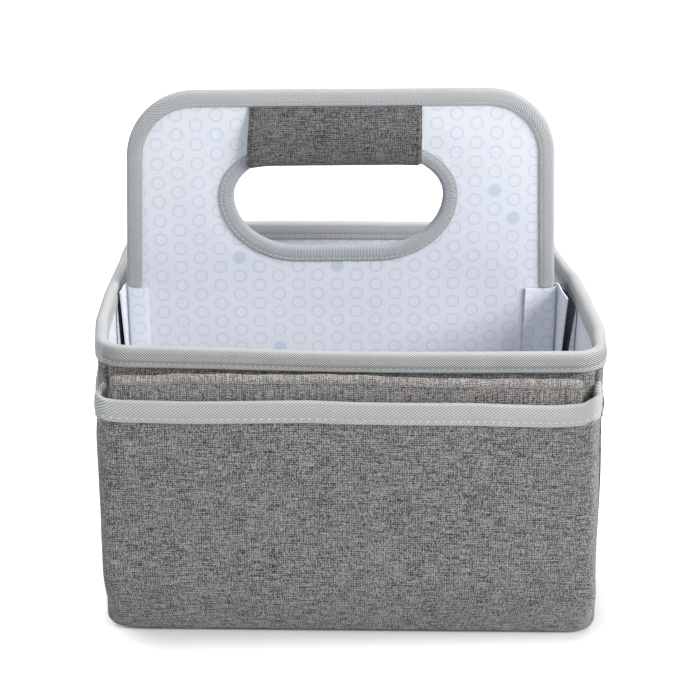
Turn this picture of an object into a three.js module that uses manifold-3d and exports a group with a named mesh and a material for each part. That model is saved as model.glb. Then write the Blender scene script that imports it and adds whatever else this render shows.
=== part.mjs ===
// A soft-sided caddy: a fabric box stiffened with thin boards, bound at the rim with woven tape.
// A tall padded divider splits it in two and carries the grip over an oval handle hole.
// A pocket across the front holds a folded change pad, and each side has a patch pocket.
// Millimetres, +Z up, front at -Y. The origin is on the face it rests on, below the divider's plane.
import * as THREE from 'three';
import { mergeVertices } from 'three/addons/utils/BufferGeometryUtils.js';
import Module from 'manifold-3d';

const wasm = await Module();
wasm.setup();

// Cloth, boards and tape
const clearance = 0.3;
const outerCloth = 1.4;
const liningCloth = 1.2;
const wallBoard = 1.8;
const baseBoard = 2.5;
const tape = 0.9;
const tapeRollShare = 0.36;

// Box, measured over the outer cloth
const rimHeight = 191;
const boxDepth = 240;
const frontHalfWidth = 151.6;
const backHalfWidth = 145.5;
const sideBow = 4.2;
const baseSpread = 4.4;
const cornerRadius = 20;
const rimTapeLeg = 11;

// Divider and handle
const handleRise = 127.5;
const dividerShift = -3.8;
const dividerTopHalf = 135;
const dividerLowHalf = 138.3;
const dividerCorner = 40;
const dividerBoard = 2;
const edgeTapeLeg = 9.8;
const tabBelowRim = 3;
const tabCloth = 1;
const tabLegLeft = 14;
const tabLegRight = 19;
const tabFlank = 20;

// Handle hole, measured inside its binding
const holeShift = -1.4;
const holeHalfWidth = 66.7;
const holeEndLength = 42;
const holeBelowTop = 42.5;
const holeDrop = 32.6;
const holeRise = 27;
const holeTapeLeg = 9.5;

// Grip
const gripShift = -4.1;
const gripHalfLength = 55;
const gripFoam = 3;
const gripCloth = 1.2;
const gripEndCover = 1.2;
const gripShoulder = 6;

// Front pocket, measured over its cloth
const pocketBelowRim = 27;
const pocketBottom = 1.7;
const pocketInset = 0.6;
const pocketFrontEnd = 9;
const pocketFrontMiddle = 10.8;
const pocketCorner = 6;
const pocketRise = 45;
const pocketTapeLeg = 14.2;

// Side pockets
const sidePocketBelowRim = 42;
const sidePocketBottom = 29;
const sidePocketHalf = 96;
const sidePocketCorner = 15;
const sidePocketGape = 8;
const sidePocketSlumpShare = 0.45;

// Folded change pad
const padShift = -1.5;
const padHalfWidth = 141;
const padBottom = 22;
const padShowing = 14.5;
const padThickness = 5.2;
const padCorner = 9;
const padCrown = 1.2;
const padCrownReach = 40;
const padCrownShare = 0.35;
const padEdgeRoll = 2.4;
const padDrawIn = 1;

// Counts of steps
const cornerSteps = 8;
const straightSteps = 8;
const rollSteps = 3;

// Places worked out from the sizes
const handleHeight = rimHeight + handleRise;
const tabTop = rimHeight - tabBelowRim;
const pocketHeight = rimHeight - pocketBelowRim;
const sidePocketTop = rimHeight - sidePocketBelowRim;
const padTop = pocketHeight + padShowing;
const holeTop = handleHeight - holeBelowTop;
const holeMiddle = holeTop - holeRise;
const wallTop = rimHeight - tape - clearance;
const arcCentreY = boxDepth / 2 - cornerRadius;
const boardOffset = outerCloth + clearance;
const liningOffset = boardOffset + wallBoard + clearance;
const wallThickness = liningOffset + liningCloth;
const baseBoardLow = outerCloth + clearance;
const baseLiningLow = baseBoardLow + baseBoard + clearance;
const floorTop = baseLiningLow + liningCloth;
const dividerThickness = dividerBoard + 2 * (clearance + liningCloth);
const tapeProud = clearance + tape;
const stationsPerWall = cornerSteps + straightSteps;

const outerMaterial = { color: 0x787574, roughness: 0.95 };
const liningMaterial = { color: 0xd5dae4, roughness: 0.8 };
const tapeMaterial = { color: 0xaaadb0, roughness: 0.75 };
const boardMaterial = { color: 0xc9c9c4, roughness: 0.6 };
const foamMaterial = { color: 0xe1e0dc, roughness: 0.9 };
const padMaterial = { color: 0x7e7b79, roughness: 0.95 };
const gripMaterial = { color: 0x696869, roughness: 0.95 };

const caddy = new THREE.Group();

function addPiece(name, geometry, look) {
  const material = new THREE.MeshStandardMaterial({ ...look, metalness: 0 });
  const mesh = new THREE.Mesh(geometry, material);
  mesh.name = name;
  caddy.add(mesh);
  return mesh;
}

// Half the box's width over the cloth: narrower behind, bowed between the corners, leaning out below
function halfWidth(y, z) {
  const share = y / arcCentreY;
  const straight = THREE.MathUtils.mapLinear(share, -1, 1, frontHalfWidth, backHalfWidth);
  const bow = sideBow * Math.cos(share * Math.PI / 2);
  return straight + bow + baseSpread * (1 - z / rimHeight);
}

function arcPoint(centre, radius, angle) {
  return new THREE.Vector2(
    centre.x + radius * Math.cos(angle),
    centre.y + radius * Math.sin(angle),
  );
}

// The box seen from above at one height: front, right, back, left, each from mid corner to mid corner
function boxOutline(z) {
  const frontCentre = halfWidth(-arcCentreY, z) - cornerRadius;
  const backCentre = halfWidth(arcCentreY, z) - cornerRadius;
  const corners = [
    new THREE.Vector2(-frontCentre, -arcCentreY),
    new THREE.Vector2(frontCentre, -arcCentreY),
    new THREE.Vector2(backCentre, arcCentreY),
    new THREE.Vector2(-backCentre, arcCentreY),
  ];
  const points = [];
  for (let wall = 0; wall < corners.length; wall += 1) {
    const facing = (wall - 1) * Math.PI / 2;
    const start = corners[wall];
    const end = corners[(wall + 1) % corners.length];
    for (let step = cornerSteps / 2; step > 0; step -= 1) {
      points.push(arcPoint(start, cornerRadius, facing - step * Math.PI / 2 / cornerSteps));
    }
    for (let step = 0; step <= straightSteps; step += 1) {
      const point = arcPoint(start.clone().lerp(end, step / straightSteps), cornerRadius, facing);
      if (wall % 2 === 1) point.x = Math.sign(point.x) * halfWidth(point.y, z);
      points.push(point);
    }
    for (let step = 1; step < cornerSteps / 2; step += 1) {
      points.push(arcPoint(end, cornerRadius, facing + step * Math.PI / 2 / cornerSteps));
    }
  }
  return points;
}

// Moves a line sideways: to the left of its travel where distance is positive
function offsetLine(points, distance, closed) {
  const count = points.length;
  return points.map((point, i) => {
    const before = closed ? points[(i + count - 1) % count] : points[Math.max(i - 1, 0)];
    const after = closed ? points[(i + 1) % count] : points[Math.min(i + 1, count - 1)];
    const arriving = point.clone().sub(before).normalize();
    const leaving = after.clone().sub(point).normalize();
    const travel = arriving.add(leaving).normalize();
    return new THREE.Vector2(point.x - travel.y * distance, point.y + travel.x * distance);
  });
}

function atHeight(points, z) {
  return points.map((point) => new THREE.Vector3(point.x, point.y, z));
}

// Skins a stack of rings. capOutline closes both ends; without it the stack closes on itself.
function skin(rings, capOutline) {
  const count = rings[0].length;
  const index = [];
  const spans = capOutline ? rings.length - 1 : rings.length;
  for (let ring = 0; ring < spans; ring += 1) {
    const low = ring * count;
    const high = ((ring + 1) % rings.length) * count;
    for (let i = 0; i < count; i += 1) {
      const next = (i + 1) % count;
      index.push(low + i, low + next, high + next);
      index.push(low + i, high + next, high + i);
    }
  }
  if (capOutline) {
    const top = (rings.length - 1) * count;
    for (const [a, b, c] of THREE.ShapeUtils.triangulateShape(capOutline, [])) {
      index.push(c, b, a);
      index.push(top + a, top + b, top + c);
    }
  }
  const positions = rings.flat().flatMap((point) => point.toArray());
  const geometry = new THREE.BufferGeometry();
  geometry.setAttribute('position', new THREE.Float32BufferAttribute(positions, 3));
  geometry.setIndex(index);
  geometry.computeVertexNormals();
  return geometry;
}

// A band of cloth or board between two lines that run side by side, the first on the outside
function bandOutline(outside, inside) {
  return [...outside, ...[...inside].reverse()];
}

// One wall's layer: part of the box outline, between two offsets and two heights
function wallLayer(wall, trimmedSteps, offset, thickness, low, high) {
  const first = wall * stationsPerWall + trimmedSteps;
  const count = stationsPerWall - 2 * trimmedSteps + 1;
  const take = (line) => {
    const part = [];
    for (let i = 0; i < count; i += 1) part.push(line[(first + i) % line.length].clone());
    const seam = clearance / 2;
    part[0].add(part[1].clone().sub(part[0]).setLength(seam));
    part[count - 1].add(part[count - 2].clone().sub(part[count - 1]).setLength(seam));
    return part;
  };
  const rings = [low, high].map((z) => {
    const outline = boxOutline(z);
    const outside = take(offsetLine(outline, offset, true));
    const inside = take(offsetLine(outline, offset + thickness, true));
    return atHeight(bandOutline(outside, inside), z);
  });
  return skin(rings, rings[0].map((point) => new THREE.Vector2(point.x, point.y)));
}

// A flat layer of the bottom, inset from the box outline
function bottomLayer(offset, low, thickness) {
  const rings = [low, low + thickness].map((z) => {
    return atHeight(offsetLine(boxOutline(z), offset, true), z);
  });
  return skin(rings, rings[0].map((point) => new THREE.Vector2(point.x, point.y)));
}

// Tape folded over an edge: pairs of [across the edge, up from the tape's top]
function foldedTape(edgeThickness, leg) {
  const nearFace = -clearance;
  const farFace = edgeThickness + clearance;
  const roll = tapeRollShare * (farFace - nearFace + 2 * tape);
  const section = [
    [nearFace - tape, -leg],
    [nearFace, -leg],
    [nearFace, -tape],
    [farFace, -tape],
    [farFace, -leg],
    [farFace + tape, -leg],
  ];
  for (let step = 0; step <= rollSteps; step += 1) {
    const angle = step / rollSteps * Math.PI / 2;
    section.push([
      farFace + tape - roll + roll * Math.cos(angle),
      -roll + roll * Math.sin(angle),
    ]);
  }
  for (let step = 0; step <= rollSteps; step += 1) {
    const angle = Math.PI / 2 + step / rollSteps * Math.PI / 2;
    section.push([
      nearFace - tape + roll + roll * Math.cos(angle),
      -roll + roll * Math.sin(angle),
    ]);
  }
  return section;
}

// Carries a section along stations that each give an origin, an across and an up direction
function sweep(stations, section, closed) {
  const rings = stations.map(({ origin, across, up }) => section.map(([a, u]) => {
    return origin.clone().addScaledVector(across, a).addScaledVector(up, u);
  }));
  const outline = section.map(([a, u]) => new THREE.Vector2(a, u));
  return skin(rings, closed ? null : outline);
}

// Stations along the upper edge of upright cloth, from its line at the top and lower down
function edgeStations(topLine, lowLine, top, low, closed) {
  const inward = offsetLine(topLine, clearance, closed);
  return topLine.map((point, i) => {
    const across = inward[i].clone().sub(point).normalize();
    const lean = point.clone().sub(lowLine[i]).divideScalar(top - low);
    return {
      origin: new THREE.Vector3(point.x, point.y, top),
      across: new THREE.Vector3(across.x, across.y, 0),
      up: new THREE.Vector3(lean.x, lean.y, 1),
    };
  });
}

function buildWalls() {
  const names = ['front', 'right', 'back', 'left'];
  names.forEach((name, wall) => {
    const cloth = wallLayer(wall, 0, 0, outerCloth, baseBoardLow, wallTop);
    const boardLow = baseLiningLow;
    const board = wallLayer(wall, cornerSteps / 2, boardOffset, wallBoard, boardLow, wallTop);
    const liningLow = floorTop + clearance;
    const lining = wallLayer(wall, 0, liningOffset, liningCloth, liningLow, wallTop);
    addPiece(`outer_${name}_panel`, cloth, outerMaterial);
    addPiece(`${name}_board`, board, boardMaterial);
    addPiece(`lining_${name}_panel`, lining, liningMaterial);
  });
}

function buildBottom() {
  addPiece('base_cloth', bottomLayer(0, 0, outerCloth), outerMaterial);
  addPiece('base_board', bottomLayer(boardOffset, baseBoardLow, baseBoard), boardMaterial);
  addPiece('base_lining', bottomLayer(liningOffset, baseLiningLow, liningCloth), liningMaterial);
}

function buildRimBinding() {
  const topLine = boxOutline(rimHeight);
  const lowLine = boxOutline(rimHeight - rimTapeLeg);
  const stations = edgeStations(topLine, lowLine, rimHeight, rimHeight - rimTapeLeg, true);
  addPiece('rim_binding', sweep(stations, foldedTape(wallThickness, rimTapeLeg), true), tapeMaterial);
}

// The divider's edge over its binding, from one side's foot over the top to the other's
function dividerEdge(footHeight) {
  const centre = new THREE.Vector2(dividerTopHalf - dividerCorner, handleHeight - dividerCorner);
  const points = [new THREE.Vector2(-dividerLowHalf, footHeight)];
  if (footHeight < tabTop) points.push(new THREE.Vector2(-dividerLowHalf, tabTop));
  for (let step = 0; step <= cornerSteps; step += 1) {
    const angle = Math.PI - step / cornerSteps * Math.PI / 2;
    points.push(arcPoint(new THREE.Vector2(-centre.x, centre.y), dividerCorner, angle));
  }
  const mirrored = points.map((point) => new THREE.Vector2(-point.x, point.y)).reverse();
  return [...points, ...mirrored];
}

// The handle hole inside its binding, anticlockwise seen from the front
function holeOutline() {
  const middle = new THREE.Vector2(holeShift, holeMiddle);
  const endCentre = holeHalfWidth - holeEndLength;
  const points = [];
  for (let step = 0; step < 4 * cornerSteps; step += 1) {
    const angle = (step + 0.5) / (4 * cornerSteps) * 2 * Math.PI;
    const side = Math.sign(Math.cos(angle));
    const height = Math.sin(angle) > 0 ? holeRise : holeDrop;
    points.push(new THREE.Vector2(
      middle.x + side * endCentre + holeEndLength * Math.cos(angle),
      middle.y + height * Math.sin(angle),
    ));
  }
  return points;
}

// A flat plate of the divider standing in its plane, its front face at the given depth
function dividerPlate(edge, hole, thickness, frontFace) {
  const shape = new THREE.Shape(edge);
  shape.holes.push(new THREE.Path(hole));
  const geometry = new THREE.ExtrudeGeometry(shape, { depth: thickness, bevelEnabled: false });
  geometry.rotateX(Math.PI / 2);
  geometry.translate(dividerShift, frontFace + thickness, 0);
  return geometry;
}

function clothEdge() {
  const edge = offsetLine(dividerEdge(floorTop + clearance), -tapeProud, false);
  edge[0].y = floorTop + clearance;
  edge[edge.length - 1].y = floorTop + clearance;
  return edge;
}

function buildDivider() {
  const edge = clothEdge();
  const hole = offsetLine(holeOutline(), -tapeProud, true);
  const clothFront = -dividerThickness / 2;
  const boardFront = -dividerBoard / 2;
  const clothBack = boardFront + dividerBoard + clearance;
  const board = dividerPlate(edge, hole, dividerBoard, boardFront);
  addPiece('divider_board', board, boardMaterial);
  addPiece('divider_front_lining', dividerPlate(edge, hole, liningCloth, clothFront), liningMaterial);
  addPiece('divider_back_lining', dividerPlate(edge, hole, liningCloth, clothBack), liningMaterial);
}

// Stations round an edge that lies in the divider's plane; the tape's top faces away from the cloth
function planeStations(line, closed) {
  const outward = offsetLine(line, clearance, closed);
  return line.map((point, i) => {
    const up = outward[i].clone().sub(point).normalize();
    return {
      origin: new THREE.Vector3(point.x + dividerShift, -dividerThickness / 2, point.y),
      across: new THREE.Vector3(0, 1, 0),
      up: new THREE.Vector3(up.x, 0, up.y),
    };
  });
}

function buildDividerBindings() {
  const edge = dividerEdge(tabTop + 2 * clearance);
  const edgeSection = foldedTape(dividerThickness, edgeTapeLeg);
  const edgeTape = sweep(planeStations(edge, false), edgeSection, false);
  addPiece('divider_edge_binding', edgeTape, tapeMaterial);
  const holeSection = foldedTape(dividerThickness, holeTapeLeg);
  const holeTape = sweep(planeStations(holeOutline(), true), holeSection, true);
  addPiece('handle_hole_binding', holeTape, tapeMaterial);
}

function toManifold(geometry) {
  const bare = geometry.clone();
  bare.deleteAttribute('normal');
  bare.deleteAttribute('uv');
  const merged = mergeVertices(bare);
  return new wasm.Manifold(new wasm.Mesh({
    numProp: 3,
    vertProperties: merged.attributes.position.array,
    triVerts: Uint32Array.from(merged.index.array),
  }));
}

function toGeometry(solid) {
  const mesh = solid.getMesh();
  const geometry = new THREE.BufferGeometry();
  geometry.setAttribute('position', new THREE.BufferAttribute(mesh.vertProperties, 3));
  geometry.setIndex(new THREE.BufferAttribute(mesh.triVerts, 1));
  geometry.computeVertexNormals();
  return geometry;
}

// Half a section of the grip's wrap, bottom to top, as pairs of [out from the divider, height]
function gripProfile(halfThickness, bottom, top, topHalf) {
  const profile = [];
  for (let step = 0; step <= cornerSteps / 2; step += 1) {
    const angle = step / (cornerSteps / 2) * Math.PI / 2;
    const rise = halfThickness * (1 - Math.cos(angle));
    profile.push([halfThickness * Math.sin(angle), bottom + rise]);
  }
  profile.push([halfThickness, top - gripShoulder]);
  profile.push([topHalf, top]);
  return profile;
}

function wrapOutline(profile) {
  const back = profile.slice(1).map(([out, height]) => new THREE.Vector2(out, height));
  const front = profile.map(([out, height]) => new THREE.Vector2(-out, height));
  return [...front.reverse(), ...back];
}

// A wrap round the handle bar, cut clear of the bound edge of the hole and of the divider's faces
function gripWrap(outer, inner, halfLength) {
  const ends = [-halfLength, halfLength].map((x) => x + dividerShift + gripShift);
  const outline = [...wrapOutline(outer), ...wrapOutline(inner).reverse()];
  const rings = ends.map((x) => outline.map((point) => new THREE.Vector3(x, point.x, point.y)));
  const wrap = toManifold(skin(rings, outline));
  const spared = dividerThickness + 2 * (tapeProud + clearance);
  const hole = offsetLine(holeOutline(), clearance, true);
  const edge = offsetLine(dividerEdge(tabTop), -clearance, false);
  const core = toManifold(dividerPlate(edge, hole, spared, -spared / 2));
  return toGeometry(wrap.subtract(core));
}

function buildGrip() {
  const foamInside = dividerThickness / 2 + tapeProud + clearance;
  const foamOutside = foamInside + gripFoam;
  const sleeveInside = foamOutside + clearance;
  const sleeveOutside = sleeveInside + gripCloth;
  const under = (half) => holeTop - clearance - (half - foamInside);
  const sleeveTop = handleHeight - edgeTapeLeg - clearance;
  const foamTop = sleeveTop - gripShoulder;
  const foamNeck = dividerThickness / 2 + clearance;
  const sleeveNeck = foamNeck + clearance;
  const foam = gripWrap(
    gripProfile(foamOutside, under(foamOutside), foamTop, foamNeck + gripCloth),
    gripProfile(foamInside, under(foamInside), foamTop, foamNeck),
    gripHalfLength - gripEndCover,
  );
  const sleeve = gripWrap(
    gripProfile(sleeveOutside, under(sleeveOutside), sleeveTop, sleeveNeck + gripCloth),
    gripProfile(sleeveInside, under(sleeveInside), sleeveTop, sleeveNeck),
    gripHalfLength,
  );
  addPiece('grip_foam', foam, foamMaterial);
  addPiece('grip_sleeve', sleeve, gripMaterial);
}

// A strip that joins the divider to a side wall: two legs on the divider, a wide flank on the wall
function buildTab(name, side, leg) {
  const low = floorTop + clearance;
  const panelEdge = dividerShift + side * (dividerLowHalf - tapeProud);
  const face = dividerThickness / 2 + clearance;
  const root = panelEdge + side * clearance;
  const legEnd = panelEdge - side * leg;
  const rings = [[low, clearance], [tabTop, clearance + tapeProud]].map(([z, gap]) => {
    const wallX = (y) => side * (halfWidth(y, z) - wallThickness - gap);
    const outline = [
      [legEnd, -face],
      [legEnd, -face - tabCloth],
      [root, -face - tabCloth],
      [wallX(-tabFlank) - side * tabCloth, -tabFlank],
      [wallX(-tabFlank), -tabFlank],
      [wallX(tabFlank), tabFlank],
      [wallX(tabFlank) - side * tabCloth, tabFlank],
      [root, face + tabCloth],
      [legEnd, face + tabCloth],
      [legEnd, face],
      [root, face],
      [root, -face],
    ];
    if (side < 0) outline.reverse();
    return outline.map(([x, y]) => new THREE.Vector3(x, y, z));
  });
  const cap = rings[0].map((point) => new THREE.Vector2(point.x, point.y));
  addPiece(name, skin(rings, cap), liningMaterial);
}

// The front wall's line between its corner seams, set out from the cloth
function frontLine(z, setOut) {
  return offsetLine(boxOutline(z), -setOut, true).slice(0, stationsPerWall + 1);
}

// The front pocket's outer face at one height: close to the box at its foot, standing off above
function pocketLine(z) {
  const setOut = clearance + outerCloth;
  const close = frontLine(z, setOut);
  const half = halfWidth(-arcCentreY, z) - pocketInset;
  const cornerCentre = new THREE.Vector2(-half + pocketCorner, pocketCorner - boxDepth / 2 - pocketFrontEnd);
  const left = [close[0].clone()];
  for (let step = 0; step <= cornerSteps / 2; step += 1) {
    const angle = Math.PI + step / (cornerSteps / 2) * Math.PI / 2;
    left.push(arcPoint(cornerCentre, pocketCorner, angle));
  }
  const wide = [...left];
  const span = -2 * cornerCentre.x;
  for (let step = 1; step < straightSteps; step += 1) {
    const share = step / straightSteps;
    const swell = (pocketFrontMiddle - pocketFrontEnd) * Math.sin(share * Math.PI);
    wide.push(new THREE.Vector2(cornerCentre.x + share * span, -boxDepth / 2 - pocketFrontEnd - swell));
  }
  wide.push(...left.map((point) => new THREE.Vector2(-point.x, point.y)).reverse());
  const fall = Math.max(0, 1 - z / pocketRise);
  const standOff = 1 - fall * fall;
  const nearest = spread(close, wide.length, left.length);
  return wide.map((point, i) => nearest[i].lerp(point, standOff));
}

// Re-spaces the close line so that its points pair with the wide line's, bunched at both ends
function spread(line, count, bunched) {
  const curve = new THREE.CatmullRomCurve3(atHeight(line, 0), false, 'centripetal');
  const arcShare = cornerRadius * Math.PI / 4 / curve.getLength();
  return Array.from({ length: count }, (_, i) => {
    const fromEnd = Math.min(i, count - 1 - i);
    const inMiddle = (i - bunched + 1) / (count - 2 * bunched + 1);
    let share = arcShare + inMiddle * (1 - 2 * arcShare);
    if (fromEnd < bunched) share = fromEnd / (bunched - 1) * arcShare;
    if (fromEnd < bunched && i > fromEnd) share = 1 - share;
    const point = curve.getPointAt(share);
    return new THREE.Vector2(point.x, point.y);
  });
}

function buildFrontPocket() {
  const heights = [pocketBottom];
  for (let step = 1; step <= straightSteps; step += 1) {
    heights.push(pocketBottom + step / straightSteps * (pocketRise - pocketBottom));
  }
  const clothTop = pocketHeight - tape - clearance;
  heights.push(clothTop);
  const rings = heights.map((z) => {
    const outside = pocketLine(z);
    return atHeight(bandOutline(outside, offsetLine(outside, outerCloth, false)), z);
  });
  const cap = rings[0].map((point) => new THREE.Vector2(point.x, point.y));
  addPiece('front_pocket_panel', skin(rings, cap), outerMaterial);
  const low = pocketHeight - pocketTapeLeg;
  const stations = edgeStations(pocketLine(pocketHeight), pocketLine(low), pocketHeight, low, false);
  const binding = sweep(stations, foldedTape(outerCloth, pocketTapeLeg), false);
  addPiece('front_pocket_binding', binding, tapeMaterial);
}

// A side pocket's outer face at one height, as far each way as its rounded foot allows there.
// Its mouth stands off most behind its middle.
function sidePocketLine(side, z) {
  const above = Math.min(z - sidePocketBottom, sidePocketCorner);
  const drop = sidePocketCorner - above;
  const cut = sidePocketCorner - Math.sqrt(sidePocketCorner ** 2 - drop ** 2);
  const reach = sidePocketHalf - cut;
  const heightShare = (z - sidePocketBottom) / (sidePocketTop - sidePocketBottom);
  const points = [];
  for (let step = 0; step <= 2 * straightSteps; step += 1) {
    const share = step / straightSteps - 1;
    const y = side * share * reach;
    const along = y / sidePocketHalf;
    const slumped = along - sidePocketSlumpShare * (1 - along ** 2);
    const gape = tapeProud + sidePocketGape * Math.cos(slumped * Math.PI / 2);
    const setOut = clearance + outerCloth + gape * Math.sin(heightShare * Math.PI / 2);
    points.push(new THREE.Vector2(side * (halfWidth(y, z) + setOut), y));
  }
  return points;
}

function buildSidePocket(name, side) {
  const heights = [];
  for (let step = 0; step < rollSteps; step += 1) {
    heights.push(sidePocketBottom + (step / rollSteps) ** 2 * sidePocketCorner);
  }
  const clothTop = sidePocketTop - tape - clearance;
  for (let step = 0; step <= rollSteps; step += 1) {
    const low = sidePocketBottom + sidePocketCorner;
    heights.push(low + step / rollSteps * (clothTop - low));
  }
  const rings = heights.map((z) => {
    const outside = sidePocketLine(side, z);
    return atHeight(bandOutline(outside, offsetLine(outside, outerCloth, false)), z);
  });
  const cap = rings[0].map((point) => new THREE.Vector2(point.x, point.y));
  addPiece(`${name}_pocket_panel`, skin(rings, cap), outerMaterial);
  const low = sidePocketTop - pocketTapeLeg;
  const topLine = sidePocketLine(side, sidePocketTop);
  const stations = edgeStations(topLine, sidePocketLine(side, low), sidePocketTop, low, false);
  const binding = sweep(stations, foldedTape(outerCloth, pocketTapeLeg), false);
  addPiece(`${name}_pocket_binding`, binding, tapeMaterial);
}

// A rounded rectangle, anticlockwise, its long sides drawn in a little between the corners
function padOutline(inset) {
  const halfHeight = (padTop - padBottom) / 2 - inset;
  const halfWide = padHalfWidth - inset;
  const reachX = halfWide - padCorner;
  const reachZ = halfHeight - padCorner;
  const corners = [[1, -1], [1, 1], [-1, 1], [-1, -1]];
  const points = [];
  corners.forEach(([signX, signZ], corner) => {
    const centre = new THREE.Vector2(signX * reachX, signZ * reachZ);
    for (let step = 0; step <= cornerSteps / 2; step += 1) {
      const angle = (corner - 1 + step / (cornerSteps / 2)) * Math.PI / 2;
      points.push(arcPoint(centre, padCorner, angle));
    }
    const [nextX, nextZ] = corners[(corner + 1) % corners.length];
    const nextCentre = new THREE.Vector2(nextX * reachX, nextZ * reachZ);
    for (let step = 1; step < straightSteps; step += 1) {
      const along = centre.clone().lerp(nextCentre, step / straightSteps);
      points.push(arcPoint(along, padCorner, corner * Math.PI / 2));
    }
  });
  return points.map((point) => {
    const drawn = padDrawIn * Math.cos(THREE.MathUtils.clamp(point.y / reachZ, -1, 1) * Math.PI / 2);
    return new THREE.Vector2(point.x * (1 - drawn / padHalfWidth), point.y);
  });
}

// The folded pad: a rolled edge all round and a crowned face on both sides
function buildChangePad() {
  const half = padThickness / 2;
  const layers = [[padCrownReach, half], [padCrownReach * padCrownShare, half - padCrown * padCrownShare]];
  for (let step = 0; step < rollSteps; step += 1) {
    const angle = step / rollSteps * Math.PI / 2;
    layers.push([padEdgeRoll * (1 - Math.sin(angle)), (half - padCrown) * Math.cos(angle)]);
  }
  layers.push([0, 0]);
  const mirrored = layers.slice(0, -1).map(([inset, depth]) => [inset, -depth]).reverse();
  const middleY = -boxDepth / 2 - tapeProud - clearance - half;
  const middleZ = (padTop + padBottom) / 2;
  const rings = [...layers, ...mirrored].map(([inset, depth]) => {
    return padOutline(inset).map((point) => {
      return new THREE.Vector3(point.x + padShift, middleY + depth, point.y + middleZ);
    });
  });
  addPiece('change_pad', skin(rings, padOutline(padCrownReach)), padMaterial);
}

buildWalls();
buildBottom();
buildRimBinding();
buildDivider();
buildDividerBindings();
buildGrip();
buildTab('left_divider_tab', -1, tabLegLeft);
buildTab('right_divider_tab', 1, tabLegRight);
buildFrontPocket();
buildSidePocket('left', -1);
buildSidePocket('right', 1);
buildChangePad();

export default caddy;
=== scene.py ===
# The looks of a soft-sided caddy: cloth, tape, stitching, print, floor, light and camera.
# Shapes are worked out in millimetres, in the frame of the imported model, and made in metres.
import math

import bpy
import numpy as np
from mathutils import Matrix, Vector


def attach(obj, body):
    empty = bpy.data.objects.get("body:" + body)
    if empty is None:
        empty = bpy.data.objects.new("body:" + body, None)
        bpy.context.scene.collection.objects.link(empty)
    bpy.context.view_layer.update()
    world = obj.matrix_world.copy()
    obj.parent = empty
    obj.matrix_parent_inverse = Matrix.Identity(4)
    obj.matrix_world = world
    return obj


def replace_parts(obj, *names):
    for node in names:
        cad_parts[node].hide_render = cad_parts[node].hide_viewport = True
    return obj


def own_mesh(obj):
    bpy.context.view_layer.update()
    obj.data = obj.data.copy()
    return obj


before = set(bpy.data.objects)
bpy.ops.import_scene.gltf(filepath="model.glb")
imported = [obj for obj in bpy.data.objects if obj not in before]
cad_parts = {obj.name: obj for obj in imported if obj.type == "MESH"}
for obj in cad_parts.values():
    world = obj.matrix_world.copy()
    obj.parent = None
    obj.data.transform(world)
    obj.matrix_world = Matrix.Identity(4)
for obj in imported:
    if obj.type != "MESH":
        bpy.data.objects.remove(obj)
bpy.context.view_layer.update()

MM = 0.001

# Cloth, boards and tape
CLEARANCE = 0.3
OUTER_CLOTH = 1.4
LINING_CLOTH = 1.2
WALL_BOARD = 1.8
BASE_BOARD = 2.5
TAPE = 0.9

# Box
RIM_HEIGHT = 191.0
BOX_DEPTH = 240.0
FRONT_HALF_WIDTH = 151.6
BACK_HALF_WIDTH = 145.5
SIDE_BOW = 4.2
BASE_SPREAD = 4.4
BASE_EDGE_ROUND = 0.7
BOARD_EDGE_ROUND = 0.1
CORNER_RADIUS = 20.0
RIM_TAPE_LEG = 12.2
RIM_STITCH_UP = 3.2
RIM_RELIEF = (0.5, 0.5)
FRONT_RIM_RELIEF = (1.8, 1.3)
SEAM_GAP = 0.45
SEAM_DEPTH = 2.6
SEAM_WIDTH = 0.8

# Divider and handle
HANDLE_HEIGHT = 318.0
DIVIDER_SHIFT = -3.5
DIVIDER_TOP_HALF = 135.6
DIVIDER_LOW_HALF = 139.6
DIVIDER_CORNER = 43.6
LEFT_DIVIDER_CORNER = 44.5
DIVIDER_BOARD = 2.0
DIVIDER_SWELL = 0.55
DIVIDER_RIPPLE = 0.16
EDGE_TAPE_LEG = 10.1
EDGE_STITCH_UP = 1.5
TAB_TOPS = {-1: 188.4, 1: 185.4}
TAB_CLOTH = 1.0
TAB_LEGS = {-1: 13.0, 1: 18.0}
TAB_LIP = {-1: 0.6, 1: -0.9}
TAB_CREASES = {-1: 1.4, 1: 3.7}
TAB_FINS = {-1: (1.2, 9.0, 1.6), 1: (2.4, 19.0, 2.6)}
TAB_STAND_OFF = {-1: 1.4, 1: 3.2}
TAB_GROOVE = 2.4
TAB_FLANK = 20.0
TAB_STITCH_INSET = 3.4

# Handle hole and grip
HOLE_SHIFT = -1.7
HOLE_HALF_WIDTH = 66.7
HOLE_END_LENGTH = 42.0
HOLE_TOP = 276.0
HOLE_RISE = 27.0
HOLE_DROP = 34.2
HOLE_TAPE_LEG = 9.5
HOLE_STITCH_UP = 1.7
GRIP_SHIFT = -4.4
GRIP_HALF_LENGTH = 55.0
GRIP_FOAM = 3.0
GRIP_CLOTH = 1.2
GRIP_SAG = 2.6
GRIP_SLANT = 1.9
GRIP_DROOP = {-1: 1.4, 1: 0.5}
GRIP_SEAM = 2.6
GRIP_FOAM_INSET = 1.2
GRIP_FOAM_TOP_SHARE = 0.6
GRIP_DRAWN_SHARE = 0.35
GRIP_END_ROUND = 0.7
GRIP_END_RUN = 1.8
GRIP_DROOP_RUN = 9.0
GRIP_WRINKLE = 0.22

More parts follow.
